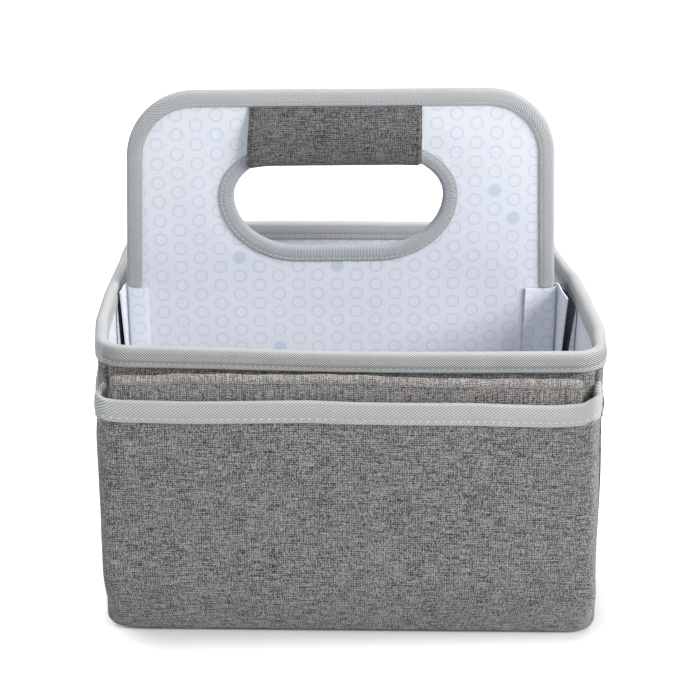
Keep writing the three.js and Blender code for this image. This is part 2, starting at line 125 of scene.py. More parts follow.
# Front pocket
POCKET_TOP = 164.0
POCKET_BOTTOM = 1.7
POCKET_INSET = 0.6
POCKET_FRONT_END = 9.0
POCKET_FRONT_MIDDLE = 10.8
POCKET_CORNER = 6.0
POCKET_RISE = 45.0
POCKET_TAPE_LEG = 14.2
POCKET_STITCH_UP = 2.9
POCKET_RELIEF = (0.4, 0.4)
POCKET_CORNER_RISE = 4.0
POCKET_END_RISE = {-1: 5.0, 1: 5.4}
POCKET_RIGHT_DRAW = 5.0
POCKET_RIGHT_STAND = 0.9
POCKET_RIPPLE = 0.25
POCKET_HOLLOW = 0.7

# Side pockets
SIDE_POCKET_TOP = 149.0
SIDE_POCKET_BOTTOM = 29.0
SIDE_POCKET_HALF = 90.0
SIDE_POCKET_CORNER = 15.0
SIDE_POCKET_GAPE = {-1: 4.4, 1: 5.0}
SIDE_POCKET_BAG = {-1: 2.8, 1: 1.2}
SIDE_POCKET_CLOTH = 1.1
SIDE_POCKET_TAPE = 0.6
SIDE_CLEARANCE = 0.15
SIDE_POCKET_SLUMP = 0.45
SIDE_SEAM_INSET = 3.0

# Change pad
PAD_SHIFT = -1.5
PAD_HALF_WIDTH = 141.0
PAD_BOTTOM = 22.0
PAD_TOP = 177.6
PAD_THICKNESS = 5.2
PAD_CORNER = 4.5
PAD_BAND_INSET = 1.2
PAD_BAND_SHARE = 0.78
PAD_BAND_STITCH_DROP = 3.9
PAD_END_FALL = 2.2
PAD_PUFF = 0.25
PAD_RUFFLE = 0.45
PAD_SLOW_RUFFLE = 0.3

# Worked out from the sizes
ARC_CENTRE_Y = BOX_DEPTH / 2 - CORNER_RADIUS
WALL_TOP = RIM_HEIGHT - TAPE - CLEARANCE
BOARD_OFFSET = OUTER_CLOTH + CLEARANCE
LINING_OFFSET = BOARD_OFFSET + WALL_BOARD + CLEARANCE
WALL_THICKNESS = LINING_OFFSET + LINING_CLOTH
BOARD_LOW = OUTER_CLOTH + CLEARANCE
LINING_LOW = BOARD_LOW + BASE_BOARD + CLEARANCE
FLOOR_TOP = LINING_LOW + LINING_CLOTH
DIVIDER_THICKNESS = DIVIDER_BOARD + 2 * (CLEARANCE + LINING_CLOTH)
TAPE_PROUD = CLEARANCE + TAPE
SIDE_TAPE_PROUD = SIDE_CLEARANCE + SIDE_POCKET_TAPE
HOLE_MIDDLE = HOLE_TOP - HOLE_RISE
WALLS = ["front", "right", "back", "left"]

# Counts of steps
CORNER_STEPS = 12
STRAIGHT_STEPS = 56
STATIONS = CORNER_STEPS + STRAIGHT_STEPS

# The sewn box is racked against its divider, as a share of x, and its front leans out at the rim
FRONT_RACK = 0.042
BACK_RACK = 0.026
FRONT_LEAN = 2.2
LEFT_RISE = 2.4
RIGHT_WAIST = 1.4
WAIST_HEIGHT = 132.0
WAIST_SPREAD = 30.0
SIDE_WAVE = 0.5
FRONT_WAVE = 0.45
RIM_WAVE = 0.5

# From where to where a point comes to count as on a side wall, or on the front or back wall
SIDE_FROM = (138, 148)
FRONT_FROM = (104, 119)

# How far the sewn box stands off its drawn shape at the rim: [along the depth, move in x]
LEFT_LEAN = [(-98, 0.3), (-82, -1.0), (-66, -2.3), (-14, -2.3), (23, -1.6), (43, -1.4), (63, -2.3),
             (100, -2)]
RIGHT_LEAN = [(-98, 0.3), (-82, 2.5), (-66, 2.0), (-49, 0.7), (6, -0.8), (20, -2.6), (43, -3.4),
              (100, -3.2)]

# How far the front pocket's mouth and the pad's top stand off their drawn height: [across, up]
POCKET_LIFT = [(-150, 0.0), (-145, -1.4), (-139, -2.3), (-96, -2.5), (-72, -1.6), (-49, -0.6), (-25, 0.2),
               (-1, -0.4), (22, -0.5), (70, -0.2), (93, -1.4), (117, -2.4), (137, -1.6), (150, -0.8)]
PAD_LIFT = [(-141, -2.2), (-134, -2.8), (-122, -2.9), (-110, -1.8), (-101, -0.9), (-91, -0.2), (-68, 0.0),
            (-53, -0.5), (-34, 0.3), (-16, 0.8), (0, 0.6), (19, 0.1), (47, -0.3), (62, -0.9), (91, -1.1),
            (106, -0.7), (116, -1.8), (141, -1.8)]


# Shapes


def smooth(value, low, high):
    """0 below low, 1 above high, and an even curve between them."""
    share = np.clip((value - low) / (high - low), 0, 1)
    return share * share * (3 - 2 * share)


def half_width(y, z):
    """Half the box's width over its cloth."""
    share = y / ARC_CENTRE_Y
    straight = np.interp(share, [-1, 1], [FRONT_HALF_WIDTH, BACK_HALF_WIDTH])
    return straight + SIDE_BOW * np.cos(share * np.pi / 2) + BASE_SPREAD * (1 - z / RIM_HEIGHT)


def wall_lean(x, y):
    return np.where(x < 0, np.interp(y, *zip(*LEFT_LEAN)), np.interp(y, *zip(*RIGHT_LEAN)))


def settled(points):
    """The sewn box is never quite true: a lean at the rim and slow waves in the cloth."""
    x, y, z = points[..., 0], points[..., 1], points[..., 2]
    height = np.clip(z / RIM_HEIGHT, 0, 1.05)
    side = smooth(np.abs(x), *SIDE_FROM)
    wave_x = SIDE_WAVE * np.sin(y / 31 + z / 47 + 0.6) * np.sin(z / 38) * side
    front = smooth(np.abs(y), *FRONT_FROM)
    wave_y = FRONT_WAVE * np.sin(x / 43 + 1.1) * np.sin(z / 55 + x / 90) * front
    moved = points.copy()
    moved[..., 0] += wall_lean(x, y) * height * side + wave_x
    moved[..., 1] += wave_y * smooth(z, 4, 30)
    moved[..., 1] -= np.where(y < 0, FRONT_RACK, BACK_RACK) * np.abs(y) / (BOX_DEPTH / 2) * x
    moved[..., 1] -= FRONT_LEAN * height ** 2 * smooth(-y, 60, 118)
    moved[..., 2] += RIM_WAVE * np.sin(x / 52 + y / 61) * height ** 4
    moved[..., 2] += LEFT_RISE * height ** 4 * smooth(-x, -10, 150) * smooth(-y, 40, 112)
    moved[..., 0] -= RIGHT_WAIST * np.exp(-((z - WAIST_HEIGHT) / WAIST_SPREAD) ** 2) * smooth(x, *SIDE_FROM)
    return moved


def offset_line(points, distance, closed):
    """Moves a plane line to the left of its travel."""
    before, after = np.roll(points, 1, axis=0), np.roll(points, -1, axis=0)
    if not closed:
        before[0], after[-1] = points[0], points[-1]
    travel = unit(unit(points - before) + unit(after - points))
    return points + travel[:, ::-1] * [-1, 1] * distance


def unit(vectors):
    length = np.linalg.norm(vectors, axis=-1, keepdims=True)
    return vectors / np.maximum(length, 1e-9)


def ways(turns):
    """A unit step at each angle."""
    return np.column_stack([np.cos(turns), np.sin(turns)])


def box_line(z):
    """The box seen from above at one height, anticlockwise from the middle of the front left corner."""
    front, back = (half_width(end * ARC_CENTRE_Y, z) - CORNER_RADIUS for end in (-1, 1))
    centres = np.array([
        [-front, -ARC_CENTRE_Y], [front, -ARC_CENTRE_Y], [back, ARC_CENTRE_Y], [-back, ARC_CENTRE_Y],
    ])
    arc = np.linspace(0, np.pi / 4, CORNER_STEPS // 2, endpoint=False)
    points = []
    for wall in range(4):
        facing = (wall - 1) * np.pi / 2
        start, end = centres[wall], centres[(wall + 1) % 4]
        straight = start + (end - start) * np.linspace(0, 1, STRAIGHT_STEPS + 1)[:, None]
        straight += CORNER_RADIUS * ways([facing])
        if wall % 2:
            straight[:, 0] = np.sign(straight[:, 0]) * half_width(straight[:, 1], z)
        points += [start + CORNER_RADIUS * ways(arc + facing - np.pi / 4), straight,
                   end + CORNER_RADIUS * ways(arc[1:] + facing)]
    return np.vstack(points)


def at_height(line, z):
    return np.column_stack([line, np.broadcast_to(z, len(line))])


def lengths_along(points, closed=False):
    """Distance travelled along a line at each of its points, with the closing step where closed."""
    route = np.vstack([points, points[:1]]) if closed else points
    steps = np.linalg.norm(np.diff(route, axis=0), axis=1)
    return np.concatenate([[0], np.cumsum(steps)])


def at_places(places, along, values):
    """Rows of values, read off at places along them."""
    return np.column_stack([np.interp(places, along, column) for column in values.T])


def evenly(points, count):
    """A closed line through the same course with evenly spaced points."""
    along = lengths_along(points, True)
    return at_places(np.linspace(0, along[-1], count + 1)[:-1], along, np.vstack([points, points[:1]]))


# Meshes

# One stitch: places along it as shares of its half length, then its girths and lifts in radii
STITCH_SHARES = np.array([-1, -0.82, -0.4, 0, 0.4, 0.82, 1])
STITCH_GIRTHS = np.array([0.35, 0.85, 1, 1.04, 1, 0.85, 0.35])
STITCH_LIFTS = np.array([-1.3, -0.2, 0.45, 0.6, 0.45, -0.2, -1.3])


def stand_for(piece, node):
    """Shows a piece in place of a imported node."""
    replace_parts(piece, node)


def grid_faces(index, closed=False):
    """The faces between rows of points. Each row closes on itself."""
    rows, after = (index, np.roll(index, -1, axis=0)) if closed else (index[:-1], index[1:])
    corners = [rows, np.roll(rows, -1, axis=1), np.roll(after, -1, axis=1), after]
    return np.stack(corners, axis=-1).reshape(-1, 4)


def add_mesh(name, points, faces, corner_uvs, material, body="caddy", sharp=50):
    """Makes one piece. Points and corner_uvs are in millimetres."""
    first, second, third, fourth = (points[faces[:, k]] for k in range(4))
    volume = np.einsum("ij,ij->i", first, np.cross(second, third)).sum()
    volume += np.einsum("ij,ij->i", first, np.cross(third, fourth)).sum()
    if volume < 0:
        faces = faces[:, ::-1]
        corner_uvs = corner_uvs[:, ::-1]
    mesh = bpy.data.meshes.new(name)
    mesh.from_pydata((points * MM).tolist(), [], faces.tolist())
    layer = mesh.uv_layers.new(name="cloth")
    layer.data.foreach_set("uv", (corner_uvs * MM).reshape(-1))
    mesh.polygons.foreach_set("use_smooth", [True] * len(mesh.polygons))
    mesh.set_sharp_from_angle(angle=math.radians(sharp))
    mesh.materials.append(material)
    piece = bpy.data.objects.new(name, mesh)
    bpy.context.collection.objects.link(piece)
    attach(piece, body)
    return piece


def sweep_mesh(name, rings, material, closed, uvs=None, **options):
    """Rings are (stations, section points, 3). The section closes on itself; open ends are capped.

    The cloth's u runs along the stations and v round the section, unless uvs gives (u, v) per point."""
    stations, around = rings.shape[:2]
    index = np.arange(stations * around).reshape(stations, around)
    faces = grid_faces(index, closed)
    if uvs is None:
        rows = stations if closed else stations - 1
        u = lengths_along(rings.mean(axis=1), closed)
        v = lengths_along(rings[stations // 2], True)
        corner_u = np.stack([u[:rows], u[:rows], u[1:rows + 1], u[1:rows + 1]], axis=-1)[:, None]
        corner_v = np.stack([v[:-1], v[1:], v[1:], v[:-1]], axis=-1)[None]
        corners = np.stack(np.broadcast_arrays(corner_u, corner_v), axis=-1).reshape(-1, 4, 2)
    else:
        flat = uvs.reshape(-1, 2)
        corners = flat[faces]
    if not closed:
        low = np.arange(around // 2 - 1)
        columns = np.stack([low, low + 1, around - 2 - low, around - 1 - low], axis=1)
        for row, turn in ((0, 1), (stations - 1, -1)):
            cap = index[row][columns]
            if uvs is None:
                cap_uv = np.stack([np.full(cap.shape, u[row]), v[columns[:, [0, 1, 1, 0]]]], axis=-1)
            else:
                cap_uv = flat[cap]
            faces, corners = np.vstack([faces, cap[:, ::turn]]), np.vstack([corners, cap_uv[:, ::turn]])
    return add_mesh(name, rings.reshape(-1, 3), faces, corners, material, **options)


def loft_mesh(name, rings, material, uv_axes, **options):
    """Rings are (rings, points, 3), from the middle of one face round the edge to the middle of the other.

    Each end ring is drawn together to its own centre. uv_axes picks the two axes the cloth lies along."""
    count, around = rings.shape[:2]
    points = np.vstack([rings.reshape(-1, 3), rings[[0, -1]].mean(axis=1)])
    index = np.arange(count * around).reshape(count, around)
    pairs = np.arange(0, around, 2)
    faces = [grid_faces(index)]
    for ring, centre, step in ((index[0], count * around, -1), (index[-1], count * around + 1, 1)):
        fan = [*(ring[(pairs + ahead) % around] for ahead in range(3)), np.full(len(pairs), centre)]
        faces.append(np.stack(fan[::step], axis=1))
    faces = np.vstack(faces)
    return add_mesh(name, points, faces, points[:, uv_axes][faces], material, **options)


def stitches(name, route, normals, body="caddy", pitch=3.6, length=2.5, radius=0.24,
             slant=14.0, settle=True, material=None):
    """A seam of separate slanted stitches that lie on a line and dip into the cloth at both ends."""
    along = lengths_along(route)
    normals = np.broadcast_to(normals, route.shape)
    count = max(1, int(along[-1] / pitch))
    middles = (np.arange(count) + 0.5) * along[-1] / count
    points = at_places(middles, along, route)[:, None]
    ahead, behind = (at_places(middles + step, along, route) for step in (pitch / 3, -pitch / 3))
    tangent = unit(ahead - behind)
    normal = at_places(middles, along, normals)
    normal = unit(normal - tangent * np.sum(normal * tangent, axis=1, keepdims=True))
    across = np.cross(normal, tangent)
    angle = math.radians(slant)
    run = tangent * math.cos(angle) + across * math.sin(angle)
    width = across * math.cos(angle) - tangent * math.sin(angle)
    turns = np.linspace(0, 2 * np.pi, 6, endpoint=False)
    run_part = np.repeat(STITCH_SHARES * length / 2, len(turns))
    width_part = np.outer(STITCH_GIRTHS, np.cos(turns)).ravel() * radius * 1.15
    up_part = (np.outer(STITCH_GIRTHS, np.sin(turns)) + STITCH_LIFTS[:, None]).ravel() * radius
    for way, part in ((run, run_part), (width, width_part), (normal, up_part)):
        points = points + way[:, None] * part[:, None]
    index = np.arange(points.shape[1]).reshape(-1, len(turns))
    caps = np.array([[0, 3, 2, 1], [0, 5, 4, 3]])
    faces = np.vstack([grid_faces(index), caps, caps[:, ::-1] + index[-1, 0]])
    local = np.stack([run_part, np.tile(turns * radius, len(index))], axis=1)
    everything = (faces + np.arange(count)[:, None, None] * index.size).reshape(-1, 4)
    cloud = points.reshape(-1, 3)
    piece = add_mesh(name, settled(cloud) if settle else cloud, everything,
                     np.tile(local[faces], (count, 1, 1)), material or THREAD, body=body, sharp=80)
    return piece


# Materials


def put(tree, value, socket):
    """Sets a socket to a number or a colour, or links it to what a node gives."""
    if isinstance(value, (int, float)):
        socket.default_value = value
    elif isinstance(value, tuple):
        socket.default_value = (*value, 1.0)[:len(socket.default_value)]
    else:
        tree.links.new(getattr(value, "socket", value), socket)


def add_node(tree, kind, inputs, **settings):
    """Adds a node with its settings, and its inputs by name or number. Gives its outputs."""
    node = tree.nodes.new("ShaderNode" + kind)
    for name, value in settings.items():
        setattr(node, name, value)
    for key, value in inputs.items():
        put(tree, value, node.inputs[key])
    return node.outputs


class Value:
    """What one socket gives, as a term of sums and products."""

    def __init__(self, tree, socket):
        self.tree = tree
        self.socket = socket

    def then(self, operation, *others):
        inputs = dict(enumerate([self, *others]))
        return Value(self.tree, add_node(self.tree, "Math", inputs, operation=operation)[0])

    def __add__(self, other):
        return self.then("ADD", other)

    def __sub__(self, other):
        return self.then("SUBTRACT", other)

    def __mul__(self, other):
        return self.then("MULTIPLY", other)

    def wave(self, length):
        """0 to 1 to 0 over each length."""
        return (self * (2 * math.pi / length)).then("SINE").then("MULTIPLY_ADD", 0.5, 0.5)

    def step(self, low, high):
        inputs = {"Value": self, "From Min": low, "From Max": high}
        outputs = add_node(self.tree, "MapRange", inputs, interpolation_type="SMOOTHSTEP")
        return Value(self.tree, outputs["Result"])


class Look:
    """A material whose u and v are the cloth's own measures in millimetres."""

    def __init__(self, name, roughness, sheen, specular=0.25):
        self.material = bpy.data.materials.new(name)
        self.material.use_nodes = True
        self.tree = self.material.node_tree
        self.shader = self.tree.nodes["Principled BSDF"]
        settings = {"Roughness": roughness, "Sheen Weight": sheen, "Sheen Roughness": 0.5,
                    "Specular IOR Level": specular}
        for key, value in settings.items():
            put(self.tree, value, self.shader.inputs[key])
        cloth = self.make("UVMap", {}, uv_map="cloth")
        measured = self.make("VectorMath", {0: cloth, "Scale": 1 / MM}, operation="SCALE")
        self.u, self.v = (self.make("SeparateXYZ", {0: measured}, way) for way in (0, 1))

    def make(self, kind, inputs, output=0, **settings):
        return Value(self.tree, add_node(self.tree, kind, inputs, **settings)[output])

    def noise(self, across, up, detail=0.0, seed=0.0):
        place = self.make("CombineXYZ", {0: across, 1: up, 2: seed})
        return self.make("TexNoise", {"Scale": 1.0, "Detail": detail, "Vector": place})

    def mix(self, share, first, second):
        return self.make("Mix", {"Factor": share, 6: first, 7: second}, 2, data_type="RGBA")

    def finish(self, colour, brightness, height, distance):
        """The colour is made lighter or darker by a value about 1."""
        lit = self.make("VectorMath", {0: colour, "Scale": brightness}, operation="SCALE")
        bump = self.make("Bump", {"Strength": 0.9, "Distance": distance * MM, "Height": height})
        put(self.tree, lit, self.shader.inputs["Base Color"])
        put(self.tree, bump, self.shader.inputs["Normal"])
        return self.material


def colour(red, green, blue):
    """A colour as a picture states it, from 0 to 255, made linear."""
    shares = [value / 255 for value in (red, green, blue)]
    return tuple(share / 12.92 if share <= 0.04045 else ((share + 0.055) / 1.055) ** 2.4 for share in shares)


def heather(name, dark, middle, light, slub_along="u"):
    """Heathered plain weave: threads of uneven greys, with longer slubs one way."""
    g = Look(name, roughness=0.92, sheen=0.25)
    long_way, short_way = (g.u, g.v) if slub_along == "u" else (g.v, g.u)
    slub = g.noise(long_way * 0.1, short_way * 1.8, seed=3.1)
    cross = g.noise(long_way * 1.9, short_way * 0.28, seed=7.7)
    fleck = g.noise(g.u * 1.6, g.v * 2.1, seed=1.3)
    cloud = g.noise(g.u * 0.03, g.v * 0.05, seed=9.2)
    beads = g.u.wave(1.3) * g.v.wave(1.3)
    mixed = slub * 0.42 + cross * 0.28 + fleck * 0.75 + cloud * 0.05 + beads * 0.2 - 0.28
    spread = 0.13
    tone = g.mix(mixed.step(0.5 - spread, 0.5), dark, middle)
    tone = g.mix(mixed.step(0.5, 0.5 + spread), tone, light)
    weave = ((g.u + slub * 0.5).wave(1.1) - (g.v + cross * 0.5).wave(1.1)).then("ABSOLUTE")
    return g.finish(tone, 1.0, weave * 0.6 + mixed * 0.8, 0.35)


def twill(name, base, depth=0.6, rib_across=1.3, pitch=1.7, crown=None):
    """Twill tape: fine ribs that run slantwise over the tape's width. With a crown, the faces away from the
    crown of its fold are painted darker, with a darker band further down: painted shade. Past the front,
    less of that shade is painted, and the ribs are fainter and the tape lighter: painted light."""
    g = Look(name, roughness=0.72, sheen=0.15, specular=0.35)
    ribs = (g.u + g.v * rib_across).wave(pitch).step(0.1, 0.7)
    yarn = (g.u - g.v).wave(pitch * 0.55)
    fuzz = g.noise(g.u * 1.1, g.v * 1.1, detail=2.0, seed=2.2)
    cloud = g.noise(g.u * 0.05, g.v * 0.12, detail=1.0, seed=5.5)
    # Past the front the ribs are painted fainter and the tape lighter: painted light on the rim's sides and
    # back.
    if crown:
        past_front = g.u.step(296.0, 330.0)
        ribs = ribs * (past_front * -0.55 + 1.0) + past_front * 0.33
    light = ribs * depth + yarn * 0.06 + fuzz * 0.2 + cloud * 0.12 + (0.96 - depth)
    # Painted shade: darker away from the crown, and a darker band about 8.6 mm further down, less of it past
    # the front.
    if crown:
        aside = (g.v - crown).then("ABSOLUTE")
        drawn = (aside - 8.6).then("ABSOLUTE")
        painted_rim_shade = aside.step(2.0, 4.5) * -0.2 + drawn.step(3.4, 1.4) * -0.13
        light = light + painted_rim_shade * (past_front * -0.65 + 1.0)
    return g.finish(base, light, ribs + yarn * 0.25 + fuzz * 0.35, 0.22)


def printed(name, ground, ink, solid):
    """Plain weave with a small print: rings in staggered rows, some filled, and dots between them."""
    g = Look(name, roughness=0.7, sheen=0.1, specular=0.3)
    across = g.u * (1 / PRINT_PITCH)
    column = across.then("FLOOR")
    up = g.v * (1 / PRINT_PITCH) + column.then("ABSOLUTE").then("MODULO", 2.0) * 0.5
    x = across.then("FRACT") - 0.5
    y = up.then("FRACT") - 0.5
    distance = (x * x + y * y).then("SQRT")
    outline = (distance - 0.31).then("ABSOLUTE").step(0.062, 0.03)
    cell = g.make("CombineXYZ", {0: column, 1: up.then("FLOOR")})
    chance = g.make("TexWhiteNoise", {"Vector": cell}, "Value", noise_dimensions="2D")
    filled = chance.then("GREATER_THAN", 0.955) * distance.step(0.33, 0.29)
    corner_x = x.then("ABSOLUTE") - 0.5
    dots = (corner_x * corner_x + y * y).then("SQRT").step(0.055, 0.03)
    marks = (outline * 0.85).then("MAXIMUM", dots * 0.9)
    weave = g.u.wave(0.7) * g.v.wave(0.7)
    cloud = g.noise(g.u * 0.04, g.v * 0.04, detail=2.0, seed=4.4)
    tone = g.mix(filled, g.mix(marks, ground, ink), solid)
    return g.finish(tone, weave * 0.05 + cloud * 0.05 + 0.955, weave + cloud * 0.3, 0.12)


def spun(name, base):
    """Sewing thread: two plies twisted together."""
    g = Look(name, roughness=0.6, sheen=0.1, specular=0.4)
    twist = (g.u + g.v).wave(0.5)
    fuzz = g.noise(g.u * 2.0, g.v * 2.0, detail=1.0, seed=6.1)
    return g.finish(base, twist * 0.14 + fuzz * 0.12 + 0.86, twist, 0.08)


def plain_board(name, base, roughness=0.6):
    """Pressed board or foam with a faint grain."""
    g = Look(name, roughness=roughness, sheen=0.0, specular=0.4)
    grain = g.make("TexNoise", {"Scale": 400.0, "Vector": g.make("TexCoord", {}, "Object")})
    return g.finish(base, grain * 0.12 + 0.94, grain, 0.05)


PRINT_PITCH = 12.6
OUTER = heather("outer_cloth", colour(42, 39, 37), colour(99, 96, 93), colour(158, 155, 151))
PAD = heather("pad_cloth", colour(54, 51, 50), colour(110, 107, 104), colour(162, 159, 155), slub_along="v")
GRIP = heather("grip_cloth", colour(46, 44, 43), colour(85, 83, 81), colour(129, 126, 123))
PAD_BAND = heather("pad_band_cloth", colour(86, 80, 76), colour(133, 127, 122), colour(178, 172, 165),
                   slub_along="v")
LINING = printed("lining_print", colour(218, 220, 226), colour(198, 206, 217), colour(194, 203, 216))
# Painted shade: a dark blue-grey for the linings' hidden sides, so the tabs' hollows and the corner seams
# read dark.
LINING_SHADE_PAINT = heather("lining_shade_paint", colour(36, 40, 62), colour(56, 61, 92), colour(82, 88, 124))
GRIP_THREAD = spun("grip_thread", colour(34, 33, 33))
TAPE_CLOTH = twill("binding_tape", colour(180, 181, 182), depth=0.65)
POCKET_TAPE = twill("pocket_tape", colour(177, 177, 175), depth=0.48, rib_across=-1.3, pitch=2.4)
# The crown gives the rim tape painted shade down its front faces and painted light on its sides and back.
RIM_TAPE = twill("rim_tape", colour(188, 188, 187), depth=0.7, crown=15.2)
HOLE_TAPE = twill("hole_tape", colour(174, 177, 180), rib_across=0.0, pitch=0.95)
THREAD = spun("cream_thread", colour(206, 203, 190))
TAPE_THREAD = spun("tape_thread", colour(188, 186, 174))
GREY_THREAD = spun("grey_thread", colour(120, 118, 117))
LINING_THREAD = spun("lining_thread", colour(214, 218, 228))
BOARD = plain_board("stiffener_board", colour(200, 200, 195))
FOAM = plain_board("grip_foam", colour(226, 226, 220), roughness=0.95)


# Box

# Rings of a bottom layer, as shares of its outline, and the height of its edge as a share of it
PLATE_SHARES = [0.06, 0.3, 0.6, 0.85, 1.0]
PLATE_EDGE_SHARE = 0.3


def give_painted_shade(piece, rings, first, end):
    """Gives one side of a lining, which lies between two columns of its rings, a dark blue-grey cloth:
    painted shade for the hollows and seam gaps where that side shows.
    """
    piece.data.materials.append(LINING_SHADE_PAINT)
    column = np.arange((len(rings) - 1) * rings.shape[1]) % rings.shape[1]
    back = np.zeros(len(piece.data.polygons), dtype=int)
    back[:len(column)] = (column >= first) & (column < end)
    piece.data.polygons.foreach_set("material_index", back)


def near_ends(line):
    """Adds points close to both ends of a line, where a seam draws the cloth in."""
    shares = np.array([[0.2], [0.45]])
    first = line[0] + (line[1] - line[0]) * shares
    last = line[-1] + (line[-2] - line[-1]) * shares[::-1]
    return np.vstack([line[:1], first, line[1:-1], last, line[-1:]])


def wall_rings(wall, offset, thickness, low, top, trim, step=6.0, pinch=0.0, gap=CLEARANCE / 2):
    """Rings of one wall's layer, each up its outer face and down its inner face."""
    heights = np.linspace(low, top, max(4, int((top - low) / step)))
    pick = (wall * STATIONS + np.arange(trim, STATIONS + 1 - trim)) % (4 * STATIONS)
    rings = []
    for inner in (False, True):
        stack = []
        for z in heights[::-1] if inner else heights:
            outline = box_line(z)
            line = near_ends(offset_line(outline, offset + (thickness if inner else 0), True)[pick])
            line[0] += unit(line[1] - line[0]) * gap
            line[-1] += unit(line[-2] - line[-1]) * gap
            if pinch:
                along = lengths_along(line)
                from_end = np.minimum(along, along[-1] - along)
                inward = unit(near_ends(offset_line(outline, LINING_OFFSET, True)[pick]) - line)
                line = line + inward * (pinch * np.exp(-(from_end / SEAM_WIDTH) ** 2))[:, None]
            stack.append(at_height(line, z))
        rings.append(np.stack(stack, axis=1))
    return np.concatenate(rings, axis=1)


def wall_uvs(rings, low):
    """The cloth's own measures on a wall: along it and up it, the same on both faces."""
    along = lengths_along(rings[:, 0])
    u = np.broadcast_to((along - along[-1] / 2)[:, None], rings.shape[:2])
    return np.stack([u, rings[..., 2] - low], axis=-1)


def build_walls():
    for wall, name in enumerate(WALLS):
        rings = wall_rings(wall, 0, OUTER_CLOTH, BOARD_LOW, WALL_TOP, 0, pinch=SEAM_DEPTH, gap=SEAM_GAP)
        uvs = wall_uvs(rings, 0)
        if wall == 0:
            uvs = uvs + np.array([37.0, 210.0])
        piece = sweep_mesh(f"{name}_cloth", settled(rings), OUTER, False, uvs)
        stand_for(piece, f"outer_{name}_panel")
        rings = wall_rings(wall, BOARD_OFFSET, WALL_BOARD, LINING_LOW, WALL_TOP, CORNER_STEPS // 2, step=40)
        piece = sweep_mesh(f"{name}_wall_board", settled(rings), BOARD, False, wall_uvs(rings, 0))
        stand_for(piece, f"{name}_board")
        rings = wall_rings(wall, LINING_OFFSET, LINING_CLOTH, FLOOR_TOP + CLEARANCE, WALL_TOP, 0)
        piece = sweep_mesh(f"{name}_lining", settled(rings), LINING, False, wall_uvs(rings, wall * 5.0))
        # The lining's side towards the board gets painted shade, seen through the corner seams.
        give_painted_shade(piece, rings, 0, rings.shape[1] // 2 - 1)
        stand_for(piece, f"lining_{name}_panel")


def plate_rings(offset, low, top, edge_round):
    """A bottom layer from the middle of its underside round its edge to the middle of its top."""
    outline = offset_line(box_line(low), offset, True)
    under = offset_line(outline, edge_round, True)
    rings = [at_height(under * share, low) for share in PLATE_SHARES]
    rings.append(at_height(outline, low + (top - low) * PLATE_EDGE_SHARE))
    rings += [at_height(outline * share, top) for share in PLATE_SHARES[::-1]]
    return np.stack(rings)


def build_bottom():
    for name, node, offset, low, thickness, edge_round, material, slot in (
        ("base_underside", "base_cloth", 0, 0, OUTER_CLOTH, BASE_EDGE_ROUND, OUTER, "outer_cloth"),
        ("base_stiffener", "base_board", BOARD_OFFSET, BOARD_LOW, BASE_BOARD, BOARD_EDGE_ROUND, BOARD,
         "stiffener_board"),
        ("floor_lining", "base_lining", LINING_OFFSET, LINING_LOW, LINING_CLOTH, BOARD_EDGE_ROUND,
         LINING, "lining_print"),
    ):
        rings = settled(plate_rings(offset, low, low + thickness, edge_round))
        stand_for(loft_mesh(name, rings, material, [0, 1]), node)


# Tapes

TAPE_FOLD_SHARE = 0.45
TAPE_HEM_ROUND = 0.25


def tape_relief(from_raw, span, stitch_up, plump, pull):
    """How far a tape's face stands out: it swells between its raw edge and its fold, and its seam
    draws it in."""
    swell = plump * np.sin(np.clip(from_raw / span, 0, 1) * np.pi) ** 0.8
    return swell - pull * np.exp(-((from_raw - stitch_up) / 1.0) ** 2)


def tape_section(edge_thickness, leg, stitch_up, plump, pull, tape=TAPE, clearance=CLEARANCE):
    """A tape folded over an edge, as [across, up from the fold's top] pairs, outer face first."""
    middle = edge_thickness / 2
    reach = middle + clearance + tape
    drop = min(reach, leg * TAPE_FOLD_SHARE)
    ups = np.concatenate([[-leg, -leg + 0.35], np.linspace(-leg + 1.0, -drop, 9)])
    out = reach + tape_relief(ups + leg, leg - drop, stitch_up, plump, pull)
    out[0] = reach - TAPE_HEM_ROUND
    face = np.column_stack([-out, ups])
    turns = np.linspace(0, np.pi, 15)[1:-1]
    fold = np.column_stack([-reach * np.cos(turns), drop * np.sin(turns) ** 0.7 - drop])
    lining = np.column_stack([np.full(6, -middle - clearance), np.linspace(-tape, -leg, 6)])
    mirror = [-1, 1]
    return np.vstack([face, fold, face[::-1] * mirror, lining[::-1] * mirror, lining]) + [middle, 0]


def edge_frames(top_line, low_line, top, low, closed):
    """Stations along the top of upright cloth: origin, across into the cloth, and up along its lean."""
    inward = offset_line(top_line, 1.0, closed) - top_line
    origin = at_height(top_line, top)
    across = at_height(unit(inward), 0)
    lean = (top_line - low_line) / (top - low)
    return origin, across, at_height(lean, 1)


def tape_rings(frames, section):
    origin, across, up = frames
    return (origin[:, None, :] + across[:, None, :] * section[None, :, 0:1]
            + up[:, None, :] * section[None, :, 1:2])


def seam_rows(frames, edge_thickness, face, up, closed):
    """The rows of stitches on a tape's two faces: side, route, and way out of the cloth."""
    origin, across, lean = frames
    for side, place, way in (("outer", -face, -1), ("inner", edge_thickness + face, 1)):
        route, out = origin + across * place + lean * up, across * way
        if closed:
            route, out = np.vstack([route, route[:1]]), np.vstack([out, out[:1]])
        yield side, route, out


def seam_face(edge_thickness, leg, stitch_up, plump, pull, proud=TAPE_PROUD):
    """How far a tape's face stands off the bound cloth at its seam."""
    span = leg - min(edge_thickness / 2 + proud, leg * TAPE_FOLD_SHARE)
    return proud + tape_relief(stitch_up, span, stitch_up, plump, pull)


